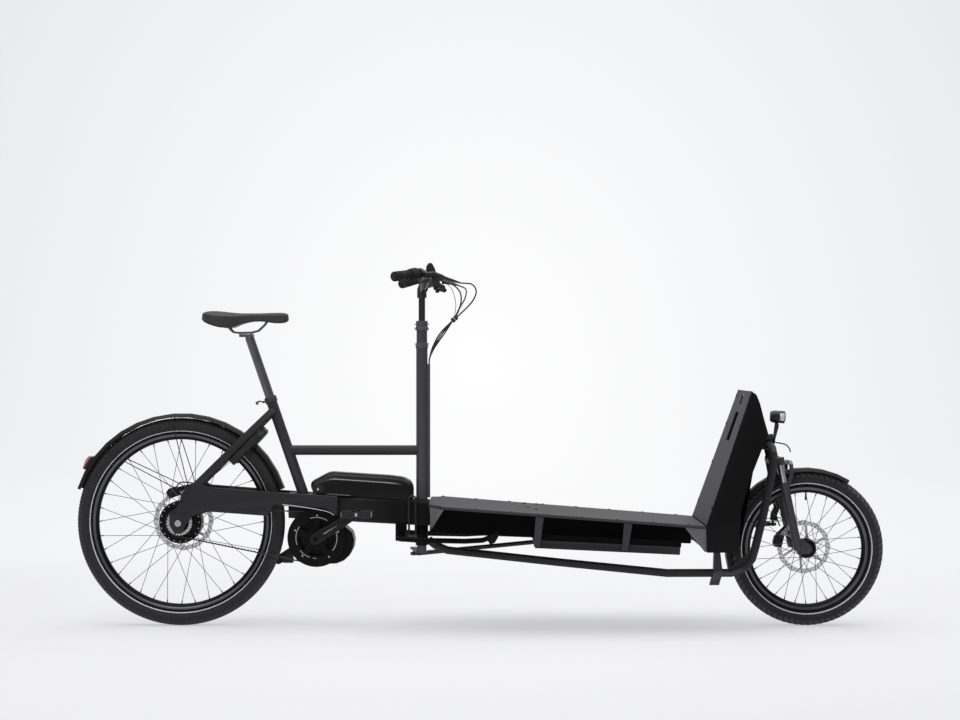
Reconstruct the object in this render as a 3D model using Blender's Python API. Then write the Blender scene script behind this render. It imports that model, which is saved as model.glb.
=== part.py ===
"""Two-wheeled cargo bicycle: a long low load bed between the rider and a small front wheel.

Metres. +X points forward, +Y to the rider's left, +Z up. The ground is z = 0 and the origin lies on it
under the middle of the overall length.
"""
from math import asin, atan2, cos, hypot, pi, radians, sin, sqrt, tan

import bmesh
import bpy
import numpy as np
from mathutils import Matrix, Vector

MM = 0.001
GAP = 0.3 * MM

# Looks: colour, roughness, metallic
MATT_PAINT = ((0.012, 0.012, 0.013), 0.45, 0.0)
BED_PAINT = ((0.075, 0.075, 0.078), 0.6, 0.0)
RUBBER = ((0.010, 0.010, 0.010), 0.85, 0.0)
TREAD = ((0.022, 0.021, 0.021), 0.9, 0.0)
PLASTIC = ((0.014, 0.014, 0.015), 0.35, 0.0)
ALLOY = ((0.55, 0.55, 0.56), 0.3, 1.0)
DARK_ALLOY = ((0.030, 0.030, 0.032), 0.35, 0.6)
STEEL = ((0.42, 0.42, 0.43), 0.28, 1.0)
RED_LENS = ((0.32, 0.06, 0.05), 0.15, 0.0)

# Wheels
WHEELBASE = 2091 * MM
REAR_TYRE_RADIUS = 347 * MM
FRONT_TYRE_RADIUS = 258 * MM
TYRE_WIDTH = 55 * MM
TYRE_HEIGHT = 49 * MM
RIM_WIDTH = 30 * MM
RIM_DEPTH = 27 * MM
RIM_BED_DEPTH = 11 * MM
RIM_BED_WIDTH = 15 * MM
SPOKE_DIAMETER = 2.2 * MM
REAR_SPOKES = 36
FRONT_SPOKES = 32
WHEEL_SEGMENTS = 36
HUB_SEGMENTS = 16

OVERALL_LENGTH = WHEELBASE + REAR_TYRE_RADIUS + FRONT_TYRE_RADIUS
REAR_AXLE = Vector((REAR_TYRE_RADIUS - OVERALL_LENGTH / 2, 0, REAR_TYRE_RADIUS))
FRONT_AXLE = Vector((OVERALL_LENGTH / 2 - FRONT_TYRE_RADIUS, 0, FRONT_TYRE_RADIUS))

# Hubs, brake rotors and axles
REAR_HUB_RADIUS = 71 * MM
REAR_HUB_HALF_WIDTH = 34 * MM
FRONT_HUB_RADIUS = 30 * MM
FRONT_HUB_HALF_WIDTH = 33 * MM
HUB_NECK_RADIUS = 16 * MM
AXLE_RADIUS = 6 * MM
AXLE_CLEARANCE = 0.4 * MM
REAR_ROTOR_RADIUS = 101 * MM
FRONT_ROTOR_RADIUS = 90 * MM
ROTOR_BAND = 15 * MM
ROTOR_THICKNESS = 2 * MM
ROTOR_Y = 44 * MM
CALLIPER_WIDTH = 20 * MM

# Belt drive
BELT_PITCH = 11 * MM
BELT_WIDTH = 12 * MM
BELT_Y = -45 * MM
BELT_BODY = 3.6 * MM
FRONT_TEETH = 50
REAR_TEETH = 26
TOOTH_HEIGHT = 3.4 * MM
CRANK_BEYOND_TYRE = 109 * MM
CRANK_HEIGHT = 296.5 * MM
CRANK_AXIS = Vector((REAR_AXLE.x + REAR_TYRE_RADIUS + CRANK_BEYOND_TYRE, 0, CRANK_HEIGHT))
CRANK_LENGTH = 165 * MM
CRANK_ANGLE = radians(31.8)
CRANK_AXLE_RADIUS = 11 * MM
CRANK_ARM_Y = 78 * MM
CRANK_ARM_THICKNESS = 14 * MM
GUARD_RADIUS = 95.5 * MM
PEDAL_LENGTH = 96 * MM
PEDAL_WIDTH = 92 * MM
PEDAL_THICKNESS = 24 * MM

# Frame behind the column
STAY_Y = 56 * MM
STAY_THICKNESS = 18 * MM
BEAM_HALF_WIDTH = 35 * MM
BEAM_FRONT_HALF_WIDTH = 48 * MM
BEAM_HEIGHT = 84 * MM
BEAM_SLOPE = radians(3.0)
BEAM_TYRE_CLEARANCE = 14 * MM
CRANK_TO_COLUMN = 349 * MM
COLUMN_X = CRANK_AXIS.x + CRANK_TO_COLUMN
BEAM_FRONT_X = COLUMN_X + 26.7 * MM
BEAM_FRONT_TOP = 420 * MM
BEAM_FLARE_X = CRANK_AXIS.x + 90 * MM
BEAM_FLARE_LENGTH = 45 * MM

SEAT_TUBE_LEAN = radians(19.0)
SEAT_TUBE_RADIUS = 18 * MM
SEAT_TUBE_BORE = 15.8 * MM
SEAT_TUBE_LENGTH = 342 * MM
SEAT_TUBE_FOOT_X = CRANK_AXIS.x - 49 * MM
SEATPOST_RADIUS = 15.45 * MM
SEATPOST_SHOWN = 219 * MM
SADDLE_SETBACK = 8 * MM
SEAT_STAY_HEAD_DROP = 47 * MM
SEAT_STAY_FOOT_X = 50 * MM
SEAT_STAY_FOOT_UP = 117 * MM
SEATPOST_INSERTED = 130 * MM
RAIL_WIRE_RADIUS = 3.5 * MM
TOP_TUBE_RADIUS = 16.5 * MM
TOP_TUBE_Z = 586 * MM
SEAT_STAY_WIDTH = 25 * MM
SEAT_STAY_THICKNESS = 14 * MM

# Steering column
COLUMN_RADIUS = 19 * MM
COLUMN_BORE = 16.4 * MM
COLUMN_TOP = 937 * MM
STEERER_RADIUS = 15.5 * MM
STEERER_BOTTOM = 242 * MM
SLEEVE_RADIUS = 17.9 * MM
SLEEVE_HEIGHT = 82 * MM
STEM_RADIUS = 11.1 * MM
STEM_BORE = 11.6 * MM
STEM_TOP = 1108 * MM
STEM_INSERTED = 250 * MM
BEARING_RADIUS = 21 * MM
BEARING_BOTTOM = 268 * MM
BAR_RADIUS = 11.1 * MM
BAR_BORE = BAR_RADIUS + 2 * GAP
BAR_HALF_WIDTH = 310 * MM
GRIP_RADIUS = 16.5 * MM
GRIP_LENGTH = 128 * MM
SHIFTER_LENGTH = 46 * MM

# Load bed
BED_REAR_X = COLUMN_X + 27 * MM
BULKHEAD_BEFORE_TYRE = 101 * MM
BED_FRONT_X = FRONT_AXLE.x - FRONT_TYRE_RADIUS - BULKHEAD_BEFORE_TYRE
BED_REAR_TOP = 418 * MM
BED_FRONT_TOP = 349.2225 * MM
BED_SLOPE = atan2(BED_REAR_TOP - BED_FRONT_TOP, BED_FRONT_X - BED_REAR_X)
BED_THICKNESS = 9 * MM
BED_SHEET = 4 * MM
BED_REAR_HALF_WIDTH = 246.5 * MM
BED_FRONT_HALF_WIDTH = 212.5 * MM
BED_CORNER = 48 * MM
BED_BEAM_HALF_WIDTH = 50 * MM
BED_BEAM_REAR_BOTTOM = 310.5 * MM
BED_BEAM_FRONT_BOTTOM = 276 * MM
BED_LENGTH = BED_FRONT_X - BED_REAR_X
RIB_POSITIONS = (BED_REAR_X + BED_LENGTH * 0.4022, BED_REAR_X + BED_LENGTH * 0.7211)
RIB_WIDTH = 26 * MM
STRIP_Y = 160 * MM
STRIP_HEIGHT = 26 * MM
STRIP_DEPTH_BELOW_BED = 92 * MM
STRIP_RISE = 14 * MM
CROSS_BAR_DEPTH = 101 * MM

# Bulkhead
BULKHEAD_LEAN = radians(19.3)
BULKHEAD_LENGTH = 461 * MM
BULKHEAD_TOP_HALF_WIDTH = 171 * MM
BULKHEAD_SHEET = 4 * MM
CHEEK_DEPTH = 94 * MM
CHEEK_BOTTOM = 264 * MM

# Front end
HEAD_LEAN = radians(12.0)
HEAD_ABOVE_TYRE = 76.1674 * MM
FORK_RAKE = 48.8911 * MM
FORK_UP = Vector((-sin(HEAD_LEAN), 0, cos(HEAD_LEAN)))
FORK_FORWARD = Vector((cos(HEAD_LEAN), 0, sin(HEAD_LEAN)))
HEAD_POINT = FRONT_AXLE + FORK_UP * (FRONT_TYRE_RADIUS + HEAD_ABOVE_TYRE) - FORK_FORWARD * FORK_RAKE
HEAD_TUBE_RADIUS = 19 * MM
HEAD_TUBE_LOW = -14 * MM
HEAD_TUBE_HIGH = 58 * MM
FORK_STEERER_RADIUS = 13 * MM
CROWN_LOW = -38.5 * MM
CROWN_HIGH = -16.5 * MM
LEG_Y = 66 * MM
LEG_FORWARD = 14 * MM
LEG_RADIUS = 14.5 * MM
STANCHION_RADIUS = 12.5 * MM
LOWERS_TOP = -98 * MM
RAIL_RADIUS = 14 * MM
RAIL_SIDE = 165 * MM
ROD_RADIUS = 8 * MM
ROD_SIDE = 100 * MM
ROD_BOW = 165 * MM
ROD_BALL_BACK = 30 * MM
ARM_BALL_RADIUS = 8 * MM

# Mudguards
GUARD_WIDTH = 64 * MM
GUARD_SHEET = 2.5 * MM
REAR_GUARD_CLEARANCE = 13 * MM
LOCK_BEYOND_TYRE = 14.94 * MM
FRONT_GUARD_CLEARANCE = 9 * MM

# Battery
BATTERY_HALF_WIDTH = 45 * MM
BATTERY_SEAT = 4 * MM

# Stand
STAND_PIVOT = Vector((COLUMN_X - 69 * MM, 0, 300 * MM))
STAND_HALF_WIDTH = 130 * MM
STAND_TUBE_RADIUS = 9 * MM
BAIL_PIN_HALF = 16 * MM
HOSE_RADIUS = 2.5 * MM

SEAT_UP = Vector((-sin(SEAT_TUBE_LEAN), 0, cos(SEAT_TUBE_LEAN)))


def clear_scene():
    """Remove whatever the scene holds."""
    for item in list(bpy.data.objects):
        bpy.data.objects.remove(item, do_unlink=True)


def material(name, look):
    """One Principled material for one sub-part."""
    colour, roughness, metallic = look
    made = bpy.data.materials.new(name)
    made.use_nodes = True
    shader = made.node_tree.nodes["Principled BSDF"]
    shader.inputs["Base Color"].default_value = (*colour, 1)
    shader.inputs["Roughness"].default_value = roughness
    shader.inputs["Metallic"].default_value = metallic
    return made


def make(name, bm, look, pivot=(0, 0, 0)):
    """Turn the shapes in bm into a named object whose origin is at pivot."""
    bmesh.ops.connect_verts_nonplanar(bm, angle_limit=radians(0.1), faces=bm.faces)
    bmesh.ops.recalc_face_normals(bm, faces=bm.faces)
    bm.transform(Matrix.Translation(-Vector(pivot)))
    mesh = bpy.data.meshes.new(name)
    bm.to_mesh(mesh)
    bm.free()
    mesh.materials.append(material(name, look))
    mesh.shade_smooth()
    mesh.set_sharp_from_angle(angle=radians(35))
    made = bpy.data.objects.new(name, mesh)
    made.location = pivot
    bpy.context.scene.collection.objects.link(made)
    return made


def combine(target, bm, operation, name):
    """Join bm to, or cut bm from, a finished object with an exact Boolean."""
    tool = make(name, bm, MATT_PAINT)
    tool.hide_render = True
    tool.display_type = "WIRE"
    step = target.modifiers.new(name, "BOOLEAN")
    step.operation = operation
    step.solver = "EXACT"
    step.object = tool


def cut(target, bm, name):
    """Cut the shape in bm out of target."""
    combine(target, bm, "DIFFERENCE", name + "_cutter")


def unite(target, bm, name):
    """Weld the shape in bm to target as one body."""
    combine(target, bm, "UNION", name + "_weld")


def soften(target, width, segments=1):
    """Round the hard edges of a pressed, cast or moulded piece."""
    step = target.modifiers.new("rounded_edges", "BEVEL")
    step.width = width
    step.segments = segments
    step.limit_method = "ANGLE"
    step.angle_limit = radians(35)


def loft(bm, rings, loop=False):
    """Skin a list of equal rings of points; the two ends are closed unless the skin loops round."""
    made = [[bm.verts.new(point) for point in ring] for ring in rings]
    count = len(made[0])
    last = len(made) if loop else len(made) - 1
    for i in range(last):
        low, high = made[i], made[(i + 1) % len(made)]
        for j in range(count):
            k = (j + 1) % count
            bm.faces.new((low[j], low[k], high[k], high[j]))
    if not loop:
        bm.faces.new(made[0][::-1])
        bm.faces.new(made[-1])


def circle(radius, sides, squash=1.0):
    """A round section, point by point."""
    turns = np.arange(sides) * 2 * pi / sides + pi / sides
    return [(radius * cos(t), radius * squash * sin(t)) for t in turns]


def rectangle(width, height, corner=0.0):
    """A rectangular section with chamfered corners."""
    w, h, c = width / 2, height / 2, corner
    if c == 0:
        return [(w, -h), (w, h), (-w, h), (-w, -h)]
    return [(w, -h + c), (w, h - c), (w - c, h), (-w + c, h), (-w, h - c), (-w, -h + c), (-w + c, -h),
            (w - c, -h)]


def sweep(bm, path, section, up=(0, 0, 1), sizes=None, carried=False):
    """Carry a section along a path. Its axes lie across the path and nearly along up.

    A carried section keeps turning with the path instead, for wires that bend every way.
    """
    path = [Vector(point) for point in path]
    rise = Vector(up)
    rings = []
    for i, point in enumerate(path):
        heading = path[min(i + 1, len(path) - 1)] - path[max(i - 1, 0)]
        side = heading.cross(rise if carried else Vector(up)).normalized()
        rise = side.cross(heading).normalized()
        size = sizes[i] if sizes else 1.0
        rings.append([point + side * (a * size) + rise * (b * size) for a, b in section])
    loft(bm, rings)


def smooth_path(points, steps=4):
    """Points on a Catmull-Rom curve through the given points, with steps per stretch."""
    points = [Vector(point) for point in points]
    padded = [2 * points[0] - points[1], *points, 2 * points[-1] - points[-2]]
    made = []
    for i in range(1, len(padded) - 2):
        a, b, c, d = padded[i - 1:i + 3]
        for j in range(steps):
            t = j / steps
            made.append(0.5 * (2 * b + (c - a) * t + (2 * a - 5 * b + 4 * c - d) * t ** 2
                               + (3 * b - a - 3 * c + d) * t ** 3))
    made.append(points[-1])
    return made


def turned(bm, profile, centre, axis, segments=24, bored=True):
    """Turn a profile of (radius, height) points about an axis; a bored profile is a closed outline."""
    local = bmesh.new()
    verts = [local.verts.new((r, 0, h)) for r, h in profile]
    pairs = list(zip(verts, verts[1:]))
    if bored:
        pairs.append((verts[-1], verts[0]))
    edges = [local.edges.new(pair) for pair in pairs]
    bmesh.ops.spin(local, geom=verts + edges, cent=(0, 0, 0), axis=(0, 0, 1), angle=2 * pi,
                   steps=segments, use_merge=True)
    bmesh.ops.remove_doubles(local, verts=local.verts, dist=0.01 * MM)
    turn = Vector((0, 0, 1)).rotation_difference(Vector(axis)).to_matrix().to_4x4()
    local.transform(Matrix.Translation(Vector(centre)) @ turn)
    add(bm, local)


def add(bm, local):
    """Copy the shape in local into bm and free local."""
    scratch = bpy.data.meshes.new("scratch")
    local.to_mesh(scratch)
    local.free()
    bm.from_mesh(scratch)
    bpy.data.meshes.remove(scratch)


def rod(bm, start, end, radius, sides=16):
    """A plain round bar between two points."""
    start, end = Vector(start), Vector(end)
    length = (end - start).length
    turned(bm, [(0, 0), (radius, 0), (radius, length), (0, length)], start, end - start, sides, bored=False)


def prism(bm, outline, depth):
    """Extrude a flat outline of 3-D points by a depth vector."""
    verts = [bm.verts.new(point) for point in outline]
    face = bm.faces.new(verts)
    made = bmesh.ops.extrude_face_region(bm, geom=[face])
    moved = [item for item in made["geom"] if isinstance(item, bmesh.types.BMVert)]
    bmesh.ops.translate(bm, verts=moved, vec=Vector(depth))


def side_plate(bm, outline, y_low, y_high):
    """A plate whose outline is given in the side view as (x, z)."""
    prism(bm, [(x, y_low, z) for x, z in outline], (0, y_high - y_low, 0))


def box(bm, low, high):
    """A block between two corners."""
    low, high = Vector(low), Vector(high)
    outline = [(low.x, low.y, low.z), (high.x, low.y, low.z), (high.x, low.y, high.z), (low.x, low.y, high.z)]
    prism(bm, outline, (0, high.y - low.y, 0))


def arc(centre, radius, start, end, count):
    """Side-view (x, z) points on an arc, angles counted from +X towards +Z."""
    turns = np.linspace(start, end, count)
    return [(centre[0] + radius * cos(t), centre[1] + radius * sin(t)) for t in turns]


def fork_point(up, forward=0.0, side=0.0):
    """A place measured from the head point along and across the steering axis."""
    return HEAD_POINT + FORK_UP * up + FORK_FORWARD * forward + Vector((0, side, 0))


def seat_point(up):
    """A place on the seat tube's axis, measured from where it meets the main beam."""
    return Vector((SEAT_TUBE_FOOT_X, 0, beam_top(SEAT_TUBE_FOOT_X))) + SEAT_UP * up


def beam_top(x):
    """Height of the main beam's upper face."""
    return BEAM_FRONT_TOP + (BEAM_FRONT_X - x) * tan(BEAM_SLOPE)


def bed_top(x):
    """Height of the load bed's upper face."""
    return BED_REAR_TOP - (x - BED_REAR_X) * tan(BED_SLOPE)


def bed_half_width(x):
    """Half the width of the tapering load bed."""
    share = (x - BED_REAR_X) / (BED_FRONT_X - BED_REAR_X)
    return BED_REAR_HALF_WIDTH + (BED_FRONT_HALF_WIDTH - BED_REAR_HALF_WIDTH) * share


def bed_beam_bottom(x):
    """Height of the underside of the beam below the load bed."""
    share = (x - BED_REAR_X) / (BED_FRONT_X - BED_REAR_X)
    return BED_BEAM_REAR_BOTTOM + (BED_BEAM_FRONT_BOTTOM - BED_BEAM_REAR_BOTTOM) * share


def rim_radius(tyre_radius):
    """Radius of the rim's flanges."""
    return tyre_radius - TYRE_HEIGHT


# Wheels

def tyre(name, axle, radius):
    """A tyre: round crown and sidewalls down to the rim's flanges."""
    bead = rim_radius(radius) + GAP
    half = TYRE_WIDTH / 2
    crown_centre = radius - half
    profile = [(bead, -RIM_WIDTH / 2 + 1.5 * MM)]
    for turn in np.linspace(radians(-125), radians(125), 7):
        profile.append((crown_centre + half * cos(turn), half * sin(turn)))
    profile.append((bead, RIM_WIDTH / 2 - 1.5 * MM))
    bm = bmesh.new()
    turned(bm, profile, axle, (0, 1, 0), WHEEL_SEGMENTS)
    make(name, bm, TREAD, axle)


def rim(name, axle, tyre_radius):
    """A hollow-section rim, drawn by its outside."""
    outer = rim_radius(tyre_radius)
    profile = [(outer, -RIM_WIDTH / 2), (outer, RIM_WIDTH / 2), (outer - RIM_BED_DEPTH, RIM_WIDTH / 2),
               (outer - RIM_DEPTH, RIM_BED_WIDTH / 2), (outer - RIM_DEPTH, -RIM_BED_WIDTH / 2),
               (outer - RIM_BED_DEPTH, -RIM_WIDTH / 2)]
    bm = bmesh.new()
    turned(bm, profile, axle, (0, 1, 0), WHEEL_SEGMENTS)
    make(name, bm, DARK_ALLOY, axle)


def spokes(name, axle, tyre_radius, hub_radius, flange_y, count, lean):
    """Crossed spokes on two flange rings round the hub, with the nipple ring that seats them in the rim."""
    bm = bmesh.new()
    inner = hub_radius + GAP
    outer = inner + 5 * MM
    for side in (1, -1):
        low, high = side * flange_y - 5.5 * MM, side * flange_y + 5.5 * MM
        turned(bm, [(inner, low), (outer, low), (outer, high), (inner, high)], axle, (0, 1, 0), HUB_SEGMENTS)
    seat = rim_radius(tyre_radius) - RIM_DEPTH - GAP
    half = RIM_BED_WIDTH / 2 - 1 * MM
    turned(bm, [(seat - 4 * MM, -half), (seat, -half), (seat, half), (seat - 4 * MM, half)], axle, (0, 1, 0),
           WHEEL_SEGMENTS // 2)
    made = make(name, bm, STEEL, axle)
    for direction, label in ((1, "leading"), (-1, "trailing")):
        wires = bmesh.new()
        for i in range(count // 2):
            side = 1 if i % 2 else -1
            turn = 2 * pi * (2 * i + (direction > 0)) / count
            foot = turn + direction * lean
            start = Vector((cos(foot), 0, sin(foot))) * (inner + 0.7 * MM)
            start.y = side * flange_y + direction * 3.4 * MM
            end = Vector((cos(turn), 0, sin(turn))) * (seat - 4 * MM)
            end.y = side * 3.2 * MM + direction * 0.7 * MM
            sweep(wires, [axle + start, axle + end], circle(SPOKE_DIAMETER / 2, 3), up=(0, 1, 0))
        unite(made, wires, name + "_" + label)


def hub(name, axle, radius, half_width, neck_half_width):
    """A hub shell with its neck on both sides, bored for the axle."""
    bore = AXLE_RADIUS + AXLE_CLEARANCE
    left = ROTOR_Y - ROTOR_THICKNESS / 2 - GAP
    profile = [(bore, -neck_half_width), (HUB_NECK_RADIUS, -neck_half_width), (HUB_NECK_RADIUS, -half_width),
               (radius - 5 * MM, -half_width), (radius, -half_width + 4 * MM), (radius, half_width - 4 * MM),
               (radius - 5 * MM, half_width), (HUB_NECK_RADIUS + 6 * MM, half_width),
               (HUB_NECK_RADIUS + 6 * MM, left), (HUB_NECK_RADIUS, left), (HUB_NECK_RADIUS, neck_half_width),
               (bore, neck_half_width)]
    bm = bmesh.new()
    turned(bm, profile, axle, (0, 1, 0), HUB_SEGMENTS)
    make(name, bm, DARK_ALLOY, axle)


def rotor(name, axle, radius):
    """A brake rotor: a braking band carried by six arms on a centre ring."""
    bm = bmesh.new()
    low, high = ROTOR_Y - ROTOR_THICKNESS / 2, ROTOR_Y + ROTOR_THICKNESS / 2
    inner = radius - ROTOR_BAND
    turned(bm, [(inner, low), (radius, low), (radius, high), (inner, high)], axle, (0, 1, 0), 24)
    made = make(name, bm, STEEL, axle)
    seat = HUB_NECK_RADIUS + GAP
    centre = bmesh.new()
    turned(centre, [(seat, low), (seat + 9 * MM, low), (seat + 9 * MM, high), (seat, high)], axle, (0, 1, 0),
           HUB_SEGMENTS)
    unite(made, centre, name + "_centre")
    arms = bmesh.new()
    for i in range(5):
        turn = 2 * pi * i / 5
        start = axle + Vector(((seat + 5 * MM) * cos(turn), ROTOR_Y, (seat + 5 * MM) * sin(turn)))
        swept = turn + radians(24)
        end = axle + Vector(((inner + 5 * MM) * cos(swept), ROTOR_Y, (inner + 5 * MM) * sin(swept)))
        sweep(arms, [start, end], rectangle(ROTOR_THICKNESS * 0.8, 8 * MM), up=(sin(turn), 0, -cos(turn)))
    unite(made, arms, name + "_arms")


def toothed_outline(centre, teeth, tip_radius):
    """Side-view outline of a belt sprocket."""
    points = []
    root_radius = tip_radius - TOOTH_HEIGHT
    for i in range(teeth):
        for share, radius in ((-0.25, tip_radius), (0.25, root_radius)):
            turn = 2 * pi * (i + share) / teeth
            points.append((centre.x + radius * cos(turn), centre.z + radius * sin(turn)))
    return points


def pitch_radius(teeth):
    """Pitch radius of a belt sprocket."""
    return teeth * BELT_PITCH / (2 * pi)


def sprocket_tip(teeth):
    """Tip radius, just under the belt's inner face."""
    return pitch_radius(teeth) - BELT_BODY / 2 - 2 * GAP


def rear_sprocket():
    """Rear belt sprocket on the hub's right-hand neck."""
    bm = bmesh.new()
    side_plate(bm, toothed_outline(REAR_AXLE, REAR_TEETH, sprocket_tip(REAR_TEETH)),
               BELT_Y - BELT_WIDTH / 2, BELT_Y + BELT_WIDTH / 2)
    made = make("rear_sprocket", bm, ALLOY, REAR_AXLE)
    bore = bmesh.new()
    reach = Vector((0, BELT_WIDTH, 0))
    middle = REAR_AXLE + Vector((0, BELT_Y, 0))
    rod(bore, middle - reach, middle + reach, HUB_NECK_RADIUS + GAP, 32)
    cut(made, bore, "rear_sprocket_bore")


def front_sprocket():
    """Front belt sprocket with the round guard outside it, on the crank axle."""
    bm = bmesh.new()
    side_plate(bm, toothed_outline(CRANK_AXIS, FRONT_TEETH, sprocket_tip(FRONT_TEETH)),
               BELT_Y - BELT_WIDTH / 2, BELT_Y + BELT_WIDTH / 2)
    made = make("front_sprocket", bm, DARK_ALLOY, CRANK_AXIS)
    guard = bmesh.new()
    guard_y = BELT_Y - BELT_WIDTH / 2
    root = sprocket_tip(FRONT_TEETH) - TOOTH_HEIGHT - 2 * MM
    turned(guard, [(0, 0), (root, 0), (root, 1.5 * MM), (GUARD_RADIUS, 1.5 * MM), (GUARD_RADIUS, 4.5 * MM),
                   (0, 4.5 * MM)], CRANK_AXIS + Vector((0, guard_y + 1 * MM, 0)), (0, -1, 0), 24, bored=False)
    unite(made, guard, "sprocket_guard")
    bore = bmesh.new()
    rod(bore, CRANK_AXIS + Vector((0, guard_y - 10 * MM, 0)), CRANK_AXIS + Vector((0, guard_y + 20 * MM, 0)),
        CRANK_AXLE_RADIUS + 2 * GAP, 18)
    cut(made, bore, "front_sprocket_bore")


def drive_belt():
    """Toothed belt as a closed band round both sprockets."""
    big, small = pitch_radius(FRONT_TEETH), pitch_radius(REAR_TEETH)
    run = CRANK_AXIS - REAR_AXLE
    tilt = atan2(run.z, run.x)
    wrap = pi / 2 + asin((big - small) / hypot(run.x, run.z))
    outline = []
    for centre, radius, middle, half, count in ((CRANK_AXIS, big, tilt, wrap, 19),
                                                (REAR_AXLE, small, tilt + pi, pi - wrap, 11)):
        outline += [(centre, radius, middle + half * share) for share in np.linspace(-1, 1, count)]
    rings = []
    for centre, radius, turn in outline:
        out = Vector((cos(turn), 0, sin(turn)))
        middle = centre + out * radius + Vector((0, BELT_Y, 0))
        section = rectangle(BELT_BODY, BELT_WIDTH - 1 * MM)
        rings.append([middle + out * a + Vector((0, b, 0)) for a, b in section])
    bm = bmesh.new()
    loft(bm, rings, loop=True)
    make("drive_belt", bm, RUBBER)


def rear_axle():
    """Rear axle through both dropouts, with a nut on each end."""
    bm = bmesh.new()
    nut = STAY_Y + STAY_THICKNESS + GAP
    end = nut + 8 * MM
    half = [(AXLE_RADIUS, nut), (11 * MM, nut), (11 * MM, end), (0, end)]
    profile = [(r, -h) for r, h in reversed(half)] + half
    turned(bm, profile, REAR_AXLE, (0, 1, 0), 12, bored=False)
    make("rear_axle", bm, STEEL)


def rear_wheel():
    """Everything that turns on the rear axle."""
    tyre("rear_tyre", REAR_AXLE, REAR_TYRE_RADIUS)
    rim("rear_rim", REAR_AXLE, REAR_TYRE_RADIUS)
    spokes("rear_spokes", REAR_AXLE, REAR_TYRE_RADIUS, REAR_HUB_RADIUS, REAR_HUB_HALF_WIDTH - 9 * MM,
           REAR_SPOKES, radians(35))
    hub("rear_hub", REAR_AXLE, REAR_HUB_RADIUS, REAR_HUB_HALF_WIDTH, STAY_Y - 0.5 * MM)
    rotor("rear_rotor", REAR_AXLE, REAR_ROTOR_RADIUS)
    rear_sprocket()


def front_wheel():
    """Everything that turns on the front axle."""
    tyre("front_tyre", FRONT_AXLE, FRONT_TYRE_RADIUS)
    rim("front_rim", FRONT_AXLE, FRONT_TYRE_RADIUS)
    spokes("front_spokes", FRONT_AXLE, FRONT_TYRE_RADIUS, FRONT_HUB_RADIUS, FRONT_HUB_HALF_WIDTH - 9 * MM,
           FRONT_SPOKES, radians(72))
    hub("front_hub", FRONT_AXLE, FRONT_HUB_RADIUS, FRONT_HUB_HALF_WIDTH, LEG_Y - LEG_RADIUS - 1 * MM)
    rotor("front_rotor", FRONT_AXLE, FRONT_ROTOR_RADIUS)


# Frame

def beam_rear_x():
    """The main beam starts just in front of the rear tyre."""
    return REAR_AXLE.x + REAR_TYRE_RADIUS + BEAM_TYRE_CLEARANCE


def main_beam():
    """Box beam from the rear wheel to the steering column, with the lower column bearing under it."""
    flare = BEAM_FLARE_X + BEAM_FLARE_LENGTH
    sections = ((beam_rear_x(), BEAM_HALF_WIDTH), (BEAM_FLARE_X, BEAM_HALF_WIDTH),
                (flare, BEAM_FRONT_HALF_WIDTH), (BEAM_FRONT_X, BEAM_FRONT_HALF_WIDTH))
    rings = []
    for x, half in sections:
        middle = beam_top(x) - BEAM_HEIGHT / 2
        rings.append([(x, a, middle + b) for a, b in rectangle(2 * half, BEAM_HEIGHT, 8 * MM)])
    bm = bmesh.new()
    loft(bm, rings)
    made = make("main_beam", bm, MATT_PAINT)
    bearing = bmesh.new()
    rod(bearing, (COLUMN_X, 0, BEARING_BOTTOM), (COLUMN_X, 0, beam_top(COLUMN_X) - BEAM_HEIGHT / 2),
        BEARING_RADIUS, 20)
    unite(made, bearing, "lower_bearing")
    bracket = bmesh.new()
    low = STAND_PIVOT.z - STAND_TUBE_RADIUS - 6 * MM
    box(bracket, (STAND_PIVOT.x - 18 * MM, -36 * MM, low),
        (STAND_PIVOT.x + 18 * MM, 36 * MM, beam_top(STAND_PIVOT.x) - BEAM_HEIGHT / 2))
    unite(made, bracket, "stand_bracket")
    lug = bmesh.new()
    hinge = bail_hinge()
    box(lug, (STAND_PIVOT.x + 14 * MM, hinge.y - 6 * MM, hinge.z - 7 * MM),
        (hinge.x - BAIL_PIN_HALF - GAP, -30 * MM, hinge.z + 8 * MM))
    unite(made, lug, "bail_lug")
    pivot_bore = bmesh.new()
    rod(pivot_bore, STAND_PIVOT - Vector((0, 60 * MM, 0)), STAND_PIVOT + Vector((0, 60 * MM, 0)),
        STAND_TUBE_RADIUS + GAP, 16)
    cut(made, pivot_bore, "stand_bore")
    unite(made, battery_base(), "battery_base")
    bore = bmesh.new()
    low, high = BEARING_BOTTOM - 20 * MM, beam_top(COLUMN_X) + 20 * MM
    rod(bore, (COLUMN_X, 0, low), (COLUMN_X, 0, high), COLUMN_BORE, 20)
    cut(made, bore, "main_beam_bore")


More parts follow.
